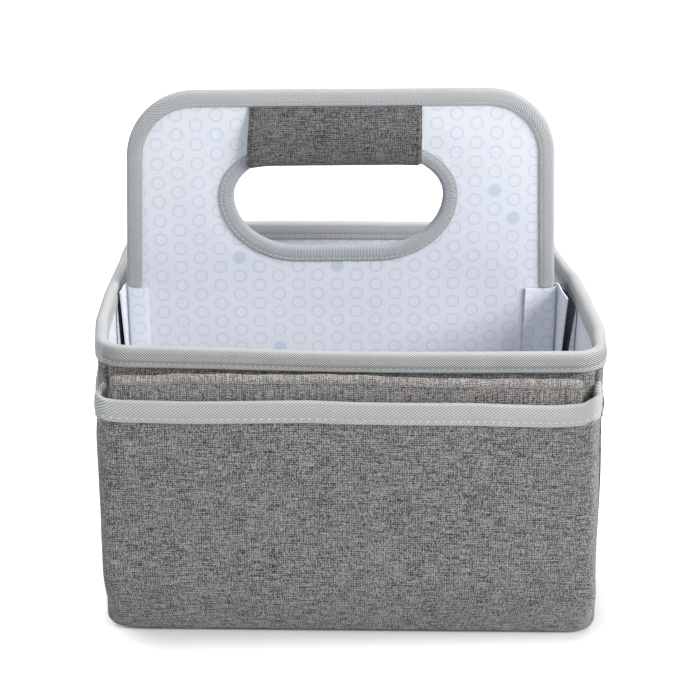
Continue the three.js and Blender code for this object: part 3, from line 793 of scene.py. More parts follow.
def bound_edge(name, node, frames, edge_thickness, leg, stitch_up, closed, material, settle=True,
               thread=None, pitch=3.6, relief=(0.25, 0.35), fuller=(0.25, 0.35), share=0.0):
    """A tape over an edge with a row of stitches on each side. Each relief is (plump, pull), and share
    says how far each station goes from the first relief to the fuller one."""
    plain, full = (tape_section(edge_thickness, leg, stitch_up, *shape) for shape in (relief, fuller))
    rings = tape_rings(frames, plain)
    rings = rings + (tape_rings(frames, full) - rings) * np.reshape(share, (-1, 1, 1))
    if settle:
        rings = settled(rings)
    piece = sweep_mesh(name, rings, material, closed, sharp=60)
    stand_for(piece, node)
    near, far = (seam_face(edge_thickness, leg, stitch_up, *shape) for shape in (relief, fuller))
    face = near + (far - near) * np.reshape(share, (-1, 1))
    for side, route, out in seam_rows(frames, edge_thickness, face, stitch_up - leg, closed):
        stitches(f"{name}_{side}_stitches", route, out, settle=settle, material=thread, pitch=pitch)


def build_rim():
    low = RIM_HEIGHT - RIM_TAPE_LEG
    frames = edge_frames(box_line(RIM_HEIGHT), box_line(low), RIM_HEIGHT, low, True)
    front = smooth(-frames[0][:, 1], 108, 119)
    bound_edge("rim_tape", "rim_binding", frames, WALL_THICKNESS, RIM_TAPE_LEG, RIM_STITCH_UP, True,
               RIM_TAPE, relief=RIM_RELIEF, fuller=FRONT_RIM_RELIEF, share=front)


# Divider


def divider_edge(feet):
    """The divider's edge over its binding, from its left foot to its right, before its shift."""
    def left_edge(corner, foot):
        turns = np.linspace(np.pi, np.pi / 2, 17)
        centre = np.array([corner - DIVIDER_TOP_HALF, HANDLE_HEIGHT - corner])
        arc = centre + corner * ways(turns)
        side = [[-DIVIDER_LOW_HALF, foot]]
        if foot < TAB_TOPS[1]:
            side.append([-DIVIDER_LOW_HALF, TAB_TOPS[-1]])
        rise = side[-1] + (arc[0] - side[-1]) * np.linspace(0, 1, 13)[1:-1, None]
        return np.vstack([side, rise, arc])
    left = left_edge(LEFT_DIVIDER_CORNER, feet[0])
    right = left_edge(DIVIDER_CORNER, feet[1])[::-1] * [-1, 1]
    top = [left[-1] + (right[0] - left[-1]) * share for share in np.linspace(0, 1, 30)[1:-1]]
    return np.vstack([left, top, right])


def hole_line(count=144):
    """The handle hole inside its binding, anticlockwise from the front, before the divider's shift."""
    turns = (np.arange(count) + 0.5) / count * 2 * np.pi
    end = HOLE_HALF_WIDTH - HOLE_END_LENGTH
    height = np.where(np.sin(turns) > 0, HOLE_RISE, HOLE_DROP)
    x = HOLE_SHIFT + np.sign(np.cos(turns)) * end + HOLE_END_LENGTH * np.cos(turns)
    return evenly(np.column_stack([x, HOLE_MIDDLE + height * np.sin(turns)]), count)


def ray_points(centre, outline, angles):
    """Where rays from a centre first leave a closed outline."""
    start = outline - centre
    end = np.roll(outline, -1, axis=0) - centre
    points = []
    for angle in angles:
        ray = np.array([math.cos(angle), math.sin(angle)])
        side_a = ray[0] * start[:, 1] - ray[1] * start[:, 0]
        side_b = ray[0] * end[:, 1] - ray[1] * end[:, 0]
        crossing = np.nonzero((side_a <= 0) != (side_b <= 0))[0]
        share = side_a[crossing] / (side_a[crossing] - side_b[crossing])
        hits = start[crossing] + (end[crossing] - start[crossing]) * share[:, None]
        ahead = hits @ ray
        points.append(centre + hits[np.argmax(np.where(ahead > 0, ahead, -1))])
    return np.array(points)


def divider_loops():
    """The divider cloth's outer outline and hole, as loops of points that face each other."""
    edge = offset_line(divider_edge([FLOOR_TOP + CLEARANCE] * 2), -TAPE_PROUD, False)
    edge[[0, -1], 1] = FLOOR_TOP + CLEARANCE
    hole = offset_line(hole_line(), -TAPE_PROUD, True)
    centre = np.array([HOLE_SHIFT, HOLE_MIDDLE])
    angles = np.linspace(0, 2 * np.pi, 320, endpoint=False)
    for corner in (edge[0], edge[-1]):
        aim = math.atan2(*(corner - centre)[::-1]) % (2 * np.pi)
        angles[np.argmin(np.abs(angles - aim))] = aim
    return ray_points(centre, edge, angles), ray_points(centre, hole, angles)


def cloth_swell(points, outer, inner):
    """How far the divider's cloth stands off its board: drawn down at its bindings, soft between."""
    def gap(loop):
        steps = points[:, None, :] - loop[None, ::4, :]
        return np.sqrt((steps ** 2).sum(axis=-1)).min(axis=1)
    shape = smooth(gap(outer), 6, 30) * smooth(gap(inner), 6, 26)
    ripple = DIVIDER_RIPPLE * np.sin(points[:, 0] / 17 + points[:, 1] / 29) * np.sin(points[:, 1] / 21 - 0.4)
    return shape * (DIVIDER_SWELL + ripple)


def plate_across(points, near, far):
    """Rings across a plate in the divider's plane, out along one face and back along the other."""
    x = points[..., 0] + DIVIDER_SHIFT
    faces = [np.stack([x, np.broadcast_to(y, x.shape), points[..., 1]], axis=-1) for y in (near, far)]
    return np.concatenate([faces[0], faces[1][:, ::-1]], axis=1)


def build_divider():
    outer, inner = divider_loops()
    shares = np.concatenate([[0, 0.02, 0.06, 0.12], np.linspace(0.2, 0.88, 16), [0.94, 0.98, 1]])
    points = inner[:, None, :] + (outer - inner)[:, None, :] * shares[None, :, None]
    swell = cloth_swell(points.reshape(-1, 2), outer, inner).reshape(points.shape[:2])
    for name, side in (("front", -1), ("back", 1)):
        near = side * (DIVIDER_THICKNESS / 2 + swell)
        rings = plate_across(points, near, side * (DIVIDER_BOARD / 2 + CLEARANCE))
        piece = sweep_mesh(f"divider_{name}_cloth", rings, LINING, True, rings[..., [0, 2]] * [-side, 1])
        stand_for(piece, f"divider_{name}_lining")
    rings = plate_across(points[:, [0, -1]], -DIVIDER_BOARD / 2, DIVIDER_BOARD / 2)
    piece = sweep_mesh("divider_stiffener", rings, BOARD, True, rings[..., [0, 2]])
    stand_for(piece, "divider_board")


def plane_frames(line, closed):
    """Stations round an edge in the divider's plane: across through the cloth, up away from it."""
    outward = unit(offset_line(line, 1.0, closed) - line)
    none = np.zeros(len(line))
    origin = np.column_stack([line[:, 0] + DIVIDER_SHIFT, none - DIVIDER_THICKNESS / 2, line[:, 1]])
    up = np.column_stack([outward[:, 0], none, outward[:, 1]])
    return origin, np.tile([0.0, 1.0, 0.0], (len(line), 1)), up


def build_divider_tapes():
    edge = divider_edge([TAB_TOPS[-1] + 2 * CLEARANCE, TAB_TOPS[1] + 2 * CLEARANCE])
    bound_edge("divider_edge_tape", "divider_edge_binding", plane_frames(edge, False), DIVIDER_THICKNESS,
               EDGE_TAPE_LEG, EDGE_STITCH_UP, False, TAPE_CLOTH, settle=False, thread=TAPE_THREAD, pitch=3.2)
    bound_edge("handle_hole_tape", "handle_hole_binding", plane_frames(hole_line(), True), DIVIDER_THICKNESS,
               HOLE_TAPE_LEG, HOLE_STITCH_UP, True, HOLE_TAPE, settle=False, pitch=3.4)


def build_grip():
    """The grip's cloth, wrapped round the bar over the hole and sewn down along the top."""
    foam_inside = DIVIDER_THICKNESS / 2 + TAPE_PROUD + CLEARANCE
    neck = DIVIDER_THICKNESS / 2 + CLEARANCE
    top = HANDLE_HEIGHT - EDGE_TAPE_LEG - CLEARANCE
    shoulder = HOLE_TOP - CLEARANCE + foam_inside
    sleeve_inside = foam_inside + GRIP_FOAM + CLEARANCE
    neck_inside = neck + CLEARANCE
    sleeve = (sleeve_inside + GRIP_CLOTH, neck_inside + GRIP_CLOTH)

    def slanted(x, height):
        lean = GRIP_SLANT * smooth(-x, 20, GRIP_HALF_LENGTH) * smooth(height, HOLE_TOP, top)
        return x + (DIVIDER_SHIFT + GRIP_SHIFT) + lean

    def wrinkle(x, height):
        return GRIP_WRINKLE * np.sin(x / 7.3 + height / 5.1) * np.sin(x / 11.0 + 1.0)

    def profile(half, tip, foot, turns, rise):
        """Depths and heights up one side: round the foot, and drawn in towards the top."""
        drawn = smooth((rise - shoulder) / (top - shoulder), GRIP_DRAWN_SHARE, 1.0)
        depths = np.concatenate([half * np.sin(turns), half + (tip - half) * drawn])
        return depths, np.concatenate([foot + half - half * np.cos(turns), rise])

    def foot_of(half):
        return HOLE_TOP - CLEARANCE - GRIP_SAG - (half - foam_inside)

    foam_top = shoulder + GRIP_FOAM_TOP_SHARE * (top - shoulder)
    for name, node, inside, outside, end_gap, head, material, slot in (
        ("grip_padding", "grip_foam", (foam_inside, foam_inside), (foam_inside + GRIP_FOAM, neck),
         GRIP_FOAM_INSET, foam_top, FOAM, "grip_foam"),
        ("grip_cover", "grip_sleeve", (sleeve_inside, neck_inside), sleeve, 0, top, GRIP, "grip_cloth"),
    ):
        reach = GRIP_HALF_LENGTH - end_gap
        end_run = np.linspace(reach - 3, reach, 4)
        rings = []
        for x in np.concatenate([-end_run[::-1], np.linspace(6 - reach, reach - 6, 33), end_run]):
            round_end = GRIP_END_ROUND * math.exp(-((reach - abs(x)) / GRIP_END_RUN) ** 2)
            droop = sum(drop * math.exp(-((x - end * reach) / GRIP_DROOP_RUN) ** 2)
                        for end, drop in GRIP_DROOP.items())
            ring = []
            for (half, tip), bulge in ((outside, 1), (inside, 0)):
                foot = foot_of(half) - droop
                rise = np.linspace(shoulder, head, 10)[1:]
                depths, heights = profile(half, tip, foot, np.linspace(0, np.pi / 2, 9), rise)
                if bulge:
                    depths += (wrinkle(x, heights) - round_end) * (depths > 0.5)
                    heights += round_end * (depths < half * 0.8) * (heights < foot + half)
                near = np.column_stack([depths, heights])
                both = np.vstack([near[::-1] * [-1, 1], near[1:]])
                ring.append(both if bulge else both[::-1])
            ring = np.vstack(ring)
            rings.append(np.column_stack([slanted(x, ring[:, 1]), ring]))
        stand_for(sweep_mesh(name, np.stack(rings), material, False), node)
    half, tip = sleeve
    turns = np.linspace(0.5, np.pi / 2, 9)[:-1]
    for label, end in (("left", -1), ("right", 1)):
        x = end * (GRIP_HALF_LENGTH - GRIP_SEAM)
        foot = foot_of(half) - GRIP_DROOP[end]
        rise = np.linspace(foot + half, top - 0.6, 30)
        depths, heights = profile(half, tip, foot, turns, rise)
        depths += wrinkle(x, heights)
        tilt = np.concatenate([-np.cos(turns), 0 * rise])
        for face, facing in (("front", -1), ("back", 1)):
            route = np.column_stack([slanted(x, heights), facing * depths, heights])
            out = unit(np.column_stack([0 * tilt, 0 * tilt + facing, tilt]))
            stitches(f"grip_{label}_{face}_stitches", route, out, settle=False, material=GRIP_THREAD,
                     pitch=2.4, length=1.7, slant=35.0)


# Tabs


def tab_strip(name, line, tops, side, depth):
    """A strip of cloth that stands on edge. line(z) gives its outer face at each point's height."""
    low = FLOOR_TOP + CLEARANCE
    outer, inner = [], []
    for share in np.linspace(0, 1, 26):
        z = low + (np.array(tops) - low) * share
        points = line(z)
        outer.append(np.column_stack([points, z]))
        inner.append(np.column_stack([offset_line(points, side * depth(z), False), z]))
    rings = np.concatenate([np.stack(outer, axis=1), np.stack(inner[::-1], axis=1)], axis=1)
    piece = sweep_mesh(name, settled(rings), LINING, False, wall_uvs(rings, -4.0), sharp=35)
    # The strips' inner faces get painted shade, for the hollow between the strips.
    give_painted_shade(piece, rings, len(outer), 2 * len(outer) - 1)
    return piece


def build_tab(name, node, side):
    """Two printed strips from the divider's faces to the side wall, with a hollow between them."""
    face = DIVIDER_THICKNESS / 2 + CLEARANCE + TAB_CLOTH
    edge = DIVIDER_SHIFT + side * (DIVIDER_LOW_HALF - TAPE_PROUD)
    leg_end = edge - side * TAB_LEGS[side]
    crease = edge + side * TAB_CREASES[side]
    top = TAB_TOPS[side]
    reach, forward, draw_in = TAB_FINS[side]
    under_tape = RIM_HEIGHT - RIM_TAPE_LEG - 2 * CLEARANCE

    def front_line(z):
        tip = reach - draw_in * np.clip((top - z) / 40, 0, 1.4)
        shares = np.array([0, 0, 0, 0, 0, 0.05, 0.3, 0.55, 0.8, 0.94, 1])
        x = crease + side * tip * shares
        x[:5] = [leg_end, leg_end + side * 0.6, (leg_end + crease) / 2, crease - side * 2.2,
                 crease - side * 0.9]
        lip = TAB_LIP[side]
        swell = np.array([lip, lip * 0.6, -0.1, 0, TAB_GROOVE, 0.6, 0.5, 0.8, 0.6, 0.2, 0])
        return np.column_stack([x, -face - forward * shares + swell])

    def stand_off(z):
        return 2 * CLEARANCE + TAB_CLOTH * 0.5 + TAB_STAND_OFF[side] * np.clip((under_tape - z) / 30, 0, 1)

    def rear_line(z):
        flank = np.linspace(1 - face - forward, TAB_FLANK, 12)
        y = np.concatenate([flank, [TAB_FLANK * 0.6, face, face, face]])
        room = stand_off(z)
        room[:9] = 2 * CLEARANCE
        x = side * (half_width(y, z) - WALL_THICKNESS - room)
        x += wall_lean(x, y) * z / RIM_HEIGHT * (1 - smooth(np.abs(x), *SIDE_FROM))
        x[12] = (x[11] + crease) / 2
        x[13:] = [crease, (crease + leg_end) / 2, leg_end]
        return np.column_stack([x, y])

    def front_depth(z):
        depth = np.full(len(z), TAB_CLOTH)
        depth[:2] -= max(0, TAB_LIP[side])
        return depth[:, None]

    def rear_depth(z):
        """The strip's hem lies against the wall, which it is sewn to."""
        depth = np.full(len(z), TAB_CLOTH)
        depth[:9] = np.maximum(stand_off(z)[:9] - 2 * CLEARANCE, 0.5)
        return depth[:, None]

    front_tops = top + np.array([-0.4, -0.5, -1.0, 0.2, 2.4, 1.2, 0.1, -0.2, -0.2, -0.3, -0.3])
    rear_tops = [under_tape] * 12 + [(under_tape + top) / 2, top, top, top]
    for part, line, tops, depth in (("front", front_line, front_tops, front_depth),
                                    ("rear", rear_line, rear_tops, rear_depth)):
        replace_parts(tab_strip(f"{name}_{part}", line, tops, side, depth), node)
    z_run = np.linspace(FLOOR_TOP + 2, top - 1, 40)
    for label, facing in (("front", -1), ("back", 1)):
        route = at_height(np.tile([crease - side * TAB_STITCH_INSET, facing * face], (len(z_run), 1)), z_run)
        stitches(f"{name}_{label}_stitches", route, [0, facing, 0], material=LINING_THREAD, pitch=3.2,
                 length=2.3)


# Front pocket


def pocket_line(z):
    """The front pocket's outer face at one height, from the left corner seam to the right."""
    close = offset_line(box_line(z), -CLEARANCE - OUTER_CLOTH, True)[:STATIONS + 1]
    half = half_width(-ARC_CENTRE_Y, z) - POCKET_INSET
    centre = np.array([-half + POCKET_CORNER, POCKET_CORNER - BOX_DEPTH / 2 - POCKET_FRONT_END])
    turns = np.linspace(np.pi, 1.5 * np.pi, 9)
    ear = centre + POCKET_CORNER * ways(turns)
    lead = close[0] + (ear[0] - close[0]) * np.linspace(0, 1, 5)[:-1, None]
    left = np.vstack([lead, ear])
    shares = np.linspace(0, 1, STRAIGHT_STEPS + 1)[1:-1]
    swell = (POCKET_FRONT_MIDDLE - POCKET_FRONT_END) * np.sin(shares * np.pi)
    front = np.column_stack([centre[0] - 2 * centre[0] * shares, -BOX_DEPTH / 2 - POCKET_FRONT_END - swell])
    wide = np.vstack([left, front, left[::-1] * [-1, 1]])
    fall = max(0.0, 1 - z / POCKET_RISE)
    along = lengths_along(close)
    arc = CORNER_RADIUS * np.pi / 4
    bunch = len(left) - 1
    shares = np.concatenate([
        np.linspace(0, arc, bunch, endpoint=False),
        np.linspace(arc, along[-1] - arc, len(wide) - 2 * bunch),
        np.linspace(along[-1], along[-1] - arc, bunch, endpoint=False)[::-1],
    ])
    nearest = at_places(shares, along, close)
    return nearest + (wide - nearest) * (1 - fall * fall)


def pocket_settled(points):
    """The pocket hangs a little: it sags and stands off further on the right, and its face is uneven."""
    x, y, z = points[..., 0], points[..., 1], points[..., 2]
    height = np.clip(z / POCKET_TOP, 0, 1)
    free = smooth(-y, 121, 128)
    right = smooth(x, -30, 95) * (1 - 0.6 * smooth(x, 120, 150))
    moved = settled(points)
    moved[..., 2] += np.interp(x, *zip(*POCKET_LIFT)) * height ** 3
    ripple = POCKET_RIPPLE * np.sin(x / 19 + 0.7) * np.sin(z / 40)
    moved[..., 1] -= free * height ** 2 * (POCKET_RIGHT_STAND * right + ripple)
    hollow = POCKET_HOLLOW * np.sin(x / 36 + 2.0) * np.sin(z / 52 + x / 120)
    moved[..., 1] += free * hollow * smooth(z, 10, 60) * (1 - 0.5 * height ** 4)
    ear = smooth(-y, 113, 124)
    moved[..., 2] += np.where(x < 0, POCKET_END_RISE[-1], POCKET_END_RISE[1]) * (1 - ear) * height ** 4
    moved[..., 2] += POCKET_CORNER_RISE * smooth(x, 138, 150) * height ** 2
    moved[..., 0] -= POCKET_RIGHT_DRAW * smooth(x, 112, 150) * ear * smooth(z, 6, 60)
    return moved


def pocket_rings(line, heights, cloth):
    outer = np.stack([at_height(line(z), z) for z in heights], axis=1)
    inner = np.stack([at_height(offset_line(line(z), cloth, False), z) for z in heights], axis=1)
    return np.concatenate([outer, inner[:, ::-1]], axis=1)


def build_front_pocket():
    heights = np.concatenate([
        np.linspace(POCKET_BOTTOM, POCKET_RISE, 14),
        np.linspace(POCKET_RISE, POCKET_TOP - TAPE - CLEARANCE, 22)[1:],
    ])
    rings = pocket_rings(pocket_line, heights, OUTER_CLOTH)
    piece = sweep_mesh("front_pocket_cloth", pocket_settled(rings), OUTER, False, wall_uvs(rings, 0))
    stand_for(piece, "front_pocket_panel")
    pocket_tape("front", pocket_line, POCKET_TOP, pocket_settled)


def pocket_tape(name, line, top, settle, cloth=OUTER_CLOTH, tape=TAPE, clearance=CLEARANCE):
    """A pocket's bound top: the tape is wide and thin, and its stitches run near its lower edge."""
    low = top - POCKET_TAPE_LEG
    frames = edge_frames(line(top), line(low), top, low, False)
    shape = (cloth, POCKET_TAPE_LEG, POCKET_STITCH_UP, *POCKET_RELIEF)
    section = tape_section(*shape, tape, clearance)
    rings = settle(tape_rings(frames, section))
    piece = sweep_mesh(f"{name}_pocket_tape", rings, POCKET_TAPE, False, sharp=60)
    stand_for(piece, f"{name}_pocket_binding")
    face = seam_face(*shape, tape + clearance)
    for side, route, out in seam_rows(frames, cloth, face, POCKET_STITCH_UP - POCKET_TAPE_LEG, False):
        stitches(f"{name}_pocket_tape_{side}_stitches", settle(route)[1:-1], out[1:-1], settle=False,
                 pitch=4.7, length=3.0, radius=0.33)


# Side pockets


def side_pocket_line(side, z):
    """A side pocket's outer face at one height. Its lower corners are round."""
    drop = SIDE_POCKET_CORNER - min(z - SIDE_POCKET_BOTTOM, SIDE_POCKET_CORNER)
    cut = SIDE_POCKET_CORNER - math.sqrt(max(0, SIDE_POCKET_CORNER ** 2 - drop ** 2))
    share = (z - SIDE_POCKET_BOTTOM) / (SIDE_POCKET_TOP - SIDE_POCKET_BOTTOM)
    y = side * np.linspace(-1, 1, 61) * (SIDE_POCKET_HALF - cut)
    along = y / SIDE_POCKET_HALF
    slumped = along - SIDE_POCKET_SLUMP * (1 - along ** 2)
    gape = SIDE_TAPE_PROUD + SIDE_POCKET_GAPE[side] * np.cos(slumped * np.pi / 2)
    full = smooth(share, 0, 0.3) * (1 - smooth(share, 0.65, 0.95))
    bag = SIDE_POCKET_BAG[side] * np.exp(-((y + 68) / 16) ** 2) * full
    set_out = SIDE_CLEARANCE + SIDE_POCKET_CLOTH + gape * np.sin(share * np.pi / 2) + bag
    return np.column_stack([side * (half_width(y, z) + set_out), y])


def build_side_pocket(name, side):
    bottom = SIDE_POCKET_BOTTOM

    def line(z):
        return side_pocket_line(side, z)

    bend = bottom + SIDE_POCKET_CORNER * np.linspace(0, 1, 10) ** 2
    heights = np.concatenate([bend, np.linspace(bend[-1], SIDE_POCKET_TOP - TAPE - CLEARANCE, 16)[1:]])
    rings = pocket_rings(line, heights, SIDE_POCKET_CLOTH)
    uvs = np.stack([rings[..., 1] * side, rings[..., 2] + 60.0], axis=-1)
    piece = sweep_mesh(f"{name}_pocket_cloth", settled(rings), OUTER, False, uvs)
    stand_for(piece, f"{name}_pocket_panel")
    pocket_tape(name, line, SIDE_POCKET_TOP, settled, SIDE_POCKET_CLOTH, SIDE_POCKET_TAPE, SIDE_CLEARANCE)
    inset = SIDE_SEAM_INSET
    low = SIDE_POCKET_TOP - POCKET_TAPE_LEG
    seam_heights = np.concatenate([np.linspace(low - 1, bend[-1], 24), bend[::-1]])
    down = np.array([[*line(max(z, bottom + 0.4))[0], max(z, bottom + inset)] for z in seam_heights])
    down[:, 1] += side * inset
    foot = at_height(line(bottom + inset), bottom + inset)[6:-6]
    back = down[::-1] * [1, -1, 1]
    rise = (back[:, 2] - bottom) / (SIDE_POCKET_TOP - bottom)
    stand = SIDE_CLEARANCE + SIDE_POCKET_CLOTH + 0.8 * np.sin(rise * np.pi / 2)
    back[:, 0] = side * (half_width(back[:, 1], back[:, 2]) + stand)
    stitches(f"{name}_pocket_seam", np.vstack([down, foot, back]), [side, 0, 0], material=GREY_THREAD,
             pitch=3.4, slant=0.0)


# Change pad


def pad_outline(inset, count=360):
    half_height = (PAD_TOP - PAD_BOTTOM) / 2 - inset
    half_wide = PAD_HALF_WIDTH - inset
    corner = max(PAD_CORNER - inset * 0.3, 3.0)
    points = []
    for quarter, (sx, sz) in enumerate([(1, -1), (1, 1), (-1, 1), (-1, -1)]):
        turns = (quarter - 1 + np.linspace(0, 1, 9)) * np.pi / 2
        points.append([sx * (half_wide - corner), sz * (half_height - corner)] + corner * ways(turns))
    return evenly(np.vstack(points), count)


def pad_x(x, below=0.0):
    """The pad lies a little short at its right end, and its left end flares below its top."""
    flare = 0.8 + 2.2 * smooth(below, 2, 16)
    return x + PAD_SHIFT - 2.6 * smooth(x, 60, PAD_HALF_WIDTH) - flare * smooth(-x, 100, PAD_HALF_WIDTH)


def give_way(piece):
    """Gives a piece of the pad a mesh of its own."""
    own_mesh(piece)


def ruffle(x):
    """How the pad's top edge ripples."""
    return PAD_RUFFLE * np.sin(x / 6.1) * np.sin(x / 15.7 + 0.8) + PAD_SLOW_RUFFLE * np.sin(x / 23 + 1.9)


# Rings of one leaf of the pad: how far inside its outline, and how deep as a share of half its thickness
PAD_INSETS = np.array([78, 64, 50, 36, 24, 14, 8, 4.5, 2.4, 1.0, 0.3])
PAD_DEPTH_SHARES = np.array([1.0, 1.0, 1.0, 0.98, 0.94, 0.86, 0.76, 0.72, 0.6, 0.38, 0.16])


def build_pad():
    """The folded pad: two soft leaves, one fold at its foot, bound along its top edge."""
    half = PAD_THICKNESS / 2
    middle_y = -BOX_DEPTH / 2 - TAPE_PROUD - CLEARANCE - half
    middle_z = (PAD_TOP + PAD_BOTTOM) / 2
    leaf = np.column_stack([PAD_INSETS, PAD_DEPTH_SHARES * half])
    rings = []
    for inset, depth in np.vstack([leaf, [[0.35, -0.02 * half]], leaf[::-1] * [1, -1]]):
        x, z = pad_outline(inset).T
        edge = smooth(16 - inset, 0, 14)
        top = smooth(z, 50, 72)
        lift = edge * top * ruffle(x)
        puff = PAD_PUFF * np.sin(x / 9.5 + 0.4) * np.sin(x / 27.0) * smooth(z, 20, 60) * np.sign(depth)
        rings.append(np.column_stack([
            pad_x(x, (PAD_TOP - PAD_BOTTOM) / 2 - z), middle_y + depth + puff * (inset > 2),
            z + middle_z + lift + np.interp(x, *zip(*PAD_LIFT)) * top,
        ]))
    piece = loft_mesh("folded_change_pad", settled(np.stack(rings)), PAD, [0, 2], body="pad")
    stand_for(piece, "change_pad")
    give_way(piece)
    build_pad_band(middle_y, middle_z, half)


def build_pad_band(middle_y, middle_z, half):
    """The bound top edge of the pad, with its row of stitches."""
    reach = PAD_HALF_WIDTH - PAD_BAND_INSET
    xs = np.linspace(-reach, reach, 181)
    ends = smooth(PAD_HALF_WIDTH - np.abs(xs), -2, 7)
    top = (PAD_TOP - PAD_BOTTOM) / 2 + ruffle(xs) + np.interp(xs, *zip(*PAD_LIFT))
    top = top - PAD_END_FALL * (1 - ends) ** 2 + middle_z
    deep = half * PAD_BAND_SHARE
    back = 0.3 - deep
    section = np.array([
        (-deep - 0.42, -4.8), (-deep - 0.5, -3.9), (-deep - 0.58, -2.7), (-deep - 0.34, -1.3),
        (-deep * 0.6, -0.2), (0, 0.35), (deep * 0.6, -0.2), (deep + 0.2, -1.3), (deep + 0.3, -2.7),
        (deep + 0.25, -4.8), (-back, -4.8), (-back, -2.7), (deep * 0.5, -1.2), (0, -0.9),
        (-deep * 0.5, -1.2), (back, -1.6), (back, -2.2), (back, -3.0), (back, -3.9), (back, -4.8),
    ])
    depths = middle_y + np.outer(0.35 + 0.65 * ends, section[:, 0])
    depths[:, 2:4] -= 0.252 * (np.sin(xs / 1.9) * np.sin(xs / 8.3 + 0.5))[:, None]
    rings = np.stack(np.broadcast_arrays(pad_x(xs)[:, None], depths, top[:, None] + section[:, 1]), axis=-1)
    piece = sweep_mesh("pad_top_band", settled(rings), PAD_BAND, False, body="pad")
    give_way(piece)
    route = np.column_stack([pad_x(xs), 0 * xs + middle_y - deep - 0.5, top - PAD_BAND_STITCH_DROP])
    give_way(stitches("pad_band_stitches", route[3:-3], [0, -1, 0], body="pad", pitch=2.9, length=1.9,
                      radius=0.2, slant=0.0, material=GREY_THREAD))


# Cloth as it was cut, in millimetres: name, width, length, share of that rectangle, hold, carrier
WALL_CUTS = {"front": 299, "right": 232, "back": 287, "left": 232}
CUTS = [
    (f"{wall}_{layer}", width - less, tall, 1.0, "stretched", f"{wall}_wall_board")
    for layer, less, tall in (("cloth", 0, 188), ("lining", 6, 184))
    for wall, width in WALL_CUTS.items()
] + [
    ("base_underside", 316, 240, 0.97, "stretched", "base_stiffener"),
    ("floor_lining", 308, 232, 0.97, "laid", "base_stiffener"),
    ("divider_front_cloth", 276, 311, 0.907, "stretched", "divider_stiffener"),
    ("divider_back_cloth", 276, 311, 0.907, "stretched", "divider_stiffener"),
    ("grip_cover", 110, 90, 1.0, "stretched", "grip_padding"),
    ("front_pocket_cloth", 328, 161, 1.0, "hung", "front_cloth"),
    ("left_pocket_cloth", 182, 119, 0.98, "hung", "left_cloth"),
    ("right_pocket_cloth", 182, 119, 0.98, "hung", "right_cloth"),
    ("left_tab_front", 28, 182, 1.0, "folded", "divider_front_cloth"),
    ("left_tab_rear", 66, 176, 1.0, "folded", "divider_back_cloth"),
    ("right_tab_front", 47, 179, 1.0, "folded", "divider_front_cloth"),
    ("right_tab_rear", 83, 176, 1.0, "folded", "divider_back_cloth"),
    ("pad_top_band", 280, 12, 1.0, "folded", "folded_change_pad"),
]


def declare_cloth():
    for name, width, length, share, held, carrier in CUTS:
        flat = (width * MM, length * MM)
        area = flat[0] * flat[1] * share


# Stage

FLOOR_REACH = 12.0
FLOOR_DROP = -0.0002
FLOOR_COLOUR = (0.62, 0.62, 0.62)
GREY_REACH = (0.13, 0.1, 0)
GREY_FADE = (0.02, 0.075)
WHITE_GLOW = 0.9
FILL_COLOUR = (0.84, 0.95, 1.12)
FILL_STRENGTH = 0.28
CAMERA_PLACE = (-0.0251, -1.0398, 0.5818)
CAMERA_TURN = (90 - 22.97, 0, -1.5)
CAMERA_LENS = 87.43

# Name, place, aim, size and watts
LAMPS = [
    ("key", (1.85, -1.0, 1.35), (0, 0, 0.12), 1.2, 70),
    ("front", (0.0, -2.3, 1.6), (0, 0, 0.15), 1.8, 12),
    ("left", (-2.0, -0.5, 1.6), (0, 0, 0.15), 1.6, 19),
    ("top", (0.1, 0.7, 2.2), (0, 0, 0.1), 2.2, 43),
]


def hang(name, data, place, turn):
    """Puts a lamp, the camera or the floor in the scene."""
    holder = bpy.data.objects.new(name, data)
    holder.location = place
    holder.rotation_euler = turn
    bpy.context.collection.objects.link(holder)
    return holder


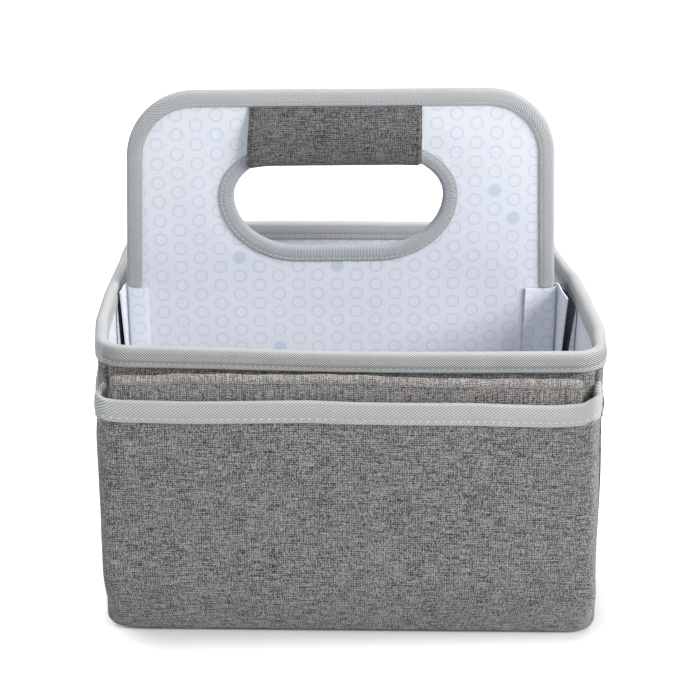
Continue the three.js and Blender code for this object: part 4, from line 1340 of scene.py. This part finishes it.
def build_stage():
    """A pale floor that turns white to the camera away from the part."""
    floor = bpy.data.meshes.new("floor")
    corners = [(x * FLOOR_REACH, y * FLOOR_REACH, 0) for x, y in ((-1, -1), (1, -1), (1, 1), (-1, 1))]
    floor.from_pydata(corners, [], [(0, 1, 2, 3)])
    material = bpy.data.materials.new("pale_floor")
    material.use_nodes = True
    tree = material.node_tree
    shader = tree.nodes["Principled BSDF"]
    for key, value in (("Base Color", FLOOR_COLOUR), ("Roughness", 1.0), ("Specular IOR Level", 0.0)):
        put(tree, value, shader.inputs[key])
    away = add_node(tree, "TexCoord", {})["Object"]
    for operation, by in (("MULTIPLY", (-1.15, -1, 0)), ("MAXIMUM", away), ("SUBTRACT", GREY_REACH),
                          ("MAXIMUM", (0, 0, 0)), ("LENGTH", (0, 0, 0))):
        outputs = add_node(tree, "VectorMath", {0: away, 1: by}, operation=operation)
        away = outputs["Value" if operation == "LENGTH" else "Vector"]
    inputs = {"Value": away, "From Min": GREY_FADE[0], "From Max": GREY_FADE[1], "To Max": WHITE_GLOW}
    rise = add_node(tree, "MapRange", inputs, interpolation_type="SMOOTHSTEP")["Result"]
    rays = add_node(tree, "LightPath", {})["Is Camera Ray"]
    seen = add_node(tree, "Math", {0: rays, 1: rise}, operation="MULTIPLY")[0]
    glow = add_node(tree, "Emission", {"Strength": seen})[0]
    both = add_node(tree, "AddShader", {0: shader.outputs[0], 1: glow})[0]
    put(tree, both, tree.nodes["Material Output"].inputs["Surface"])
    floor.materials.append(material)
    hang("floor", floor, (0, 0, FLOOR_DROP), (0, 0, 0))


def build_world():
    """A cool fill for the part, and plain white for the camera."""
    world = bpy.data.worlds.new("studio")
    world.use_nodes = True
    bpy.context.scene.world = world
    tree = world.node_tree
    fill = tree.nodes["Background"]
    put(tree, FILL_COLOUR, fill.inputs["Color"])
    put(tree, FILL_STRENGTH, fill.inputs["Strength"])
    seen = add_node(tree, "Background", {"Color": (1, 1, 1), "Strength": 1.0})[0]
    rays = add_node(tree, "LightPath", {})["Is Camera Ray"]
    mix = add_node(tree, "MixShader", {0: rays, 1: fill.outputs[0], 2: seen})[0]
    put(tree, mix, tree.nodes["World Output"].inputs["Surface"])


def build_lamps():
    for name, place, aim, size, watts in LAMPS:
        lamp = bpy.data.lights.new(name, "AREA")
        lamp.shape = "SQUARE"
        lamp.size = size
        lamp.energy = watts
        hang(name, lamp, place, (Vector(aim) - Vector(place)).to_track_quat("-Z", "Y").to_euler())


def build_camera():
    """A long lens, a little above the front, as fitted to the photograph."""
    camera = bpy.data.cameras.new("camera")
    camera.sensor_width = 36.0
    camera.lens = CAMERA_LENS
    turn = [math.radians(degrees) for degrees in CAMERA_TURN]
    bpy.context.scene.camera = hang("camera", camera, CAMERA_PLACE, turn)


build_camera()
build_world()
build_lamps()
build_stage()
build_walls()
build_bottom()
build_rim()
build_divider()
build_divider_tapes()
build_grip()
build_tab("left_tab", "left_divider_tab", -1)
build_tab("right_tab", "right_divider_tab", 1)
build_front_pocket()
build_side_pocket("left", -1)
build_side_pocket("right", 1)
build_pad()
declare_cloth()

view = bpy.context.scene.view_settings
view.view_transform = "Standard"
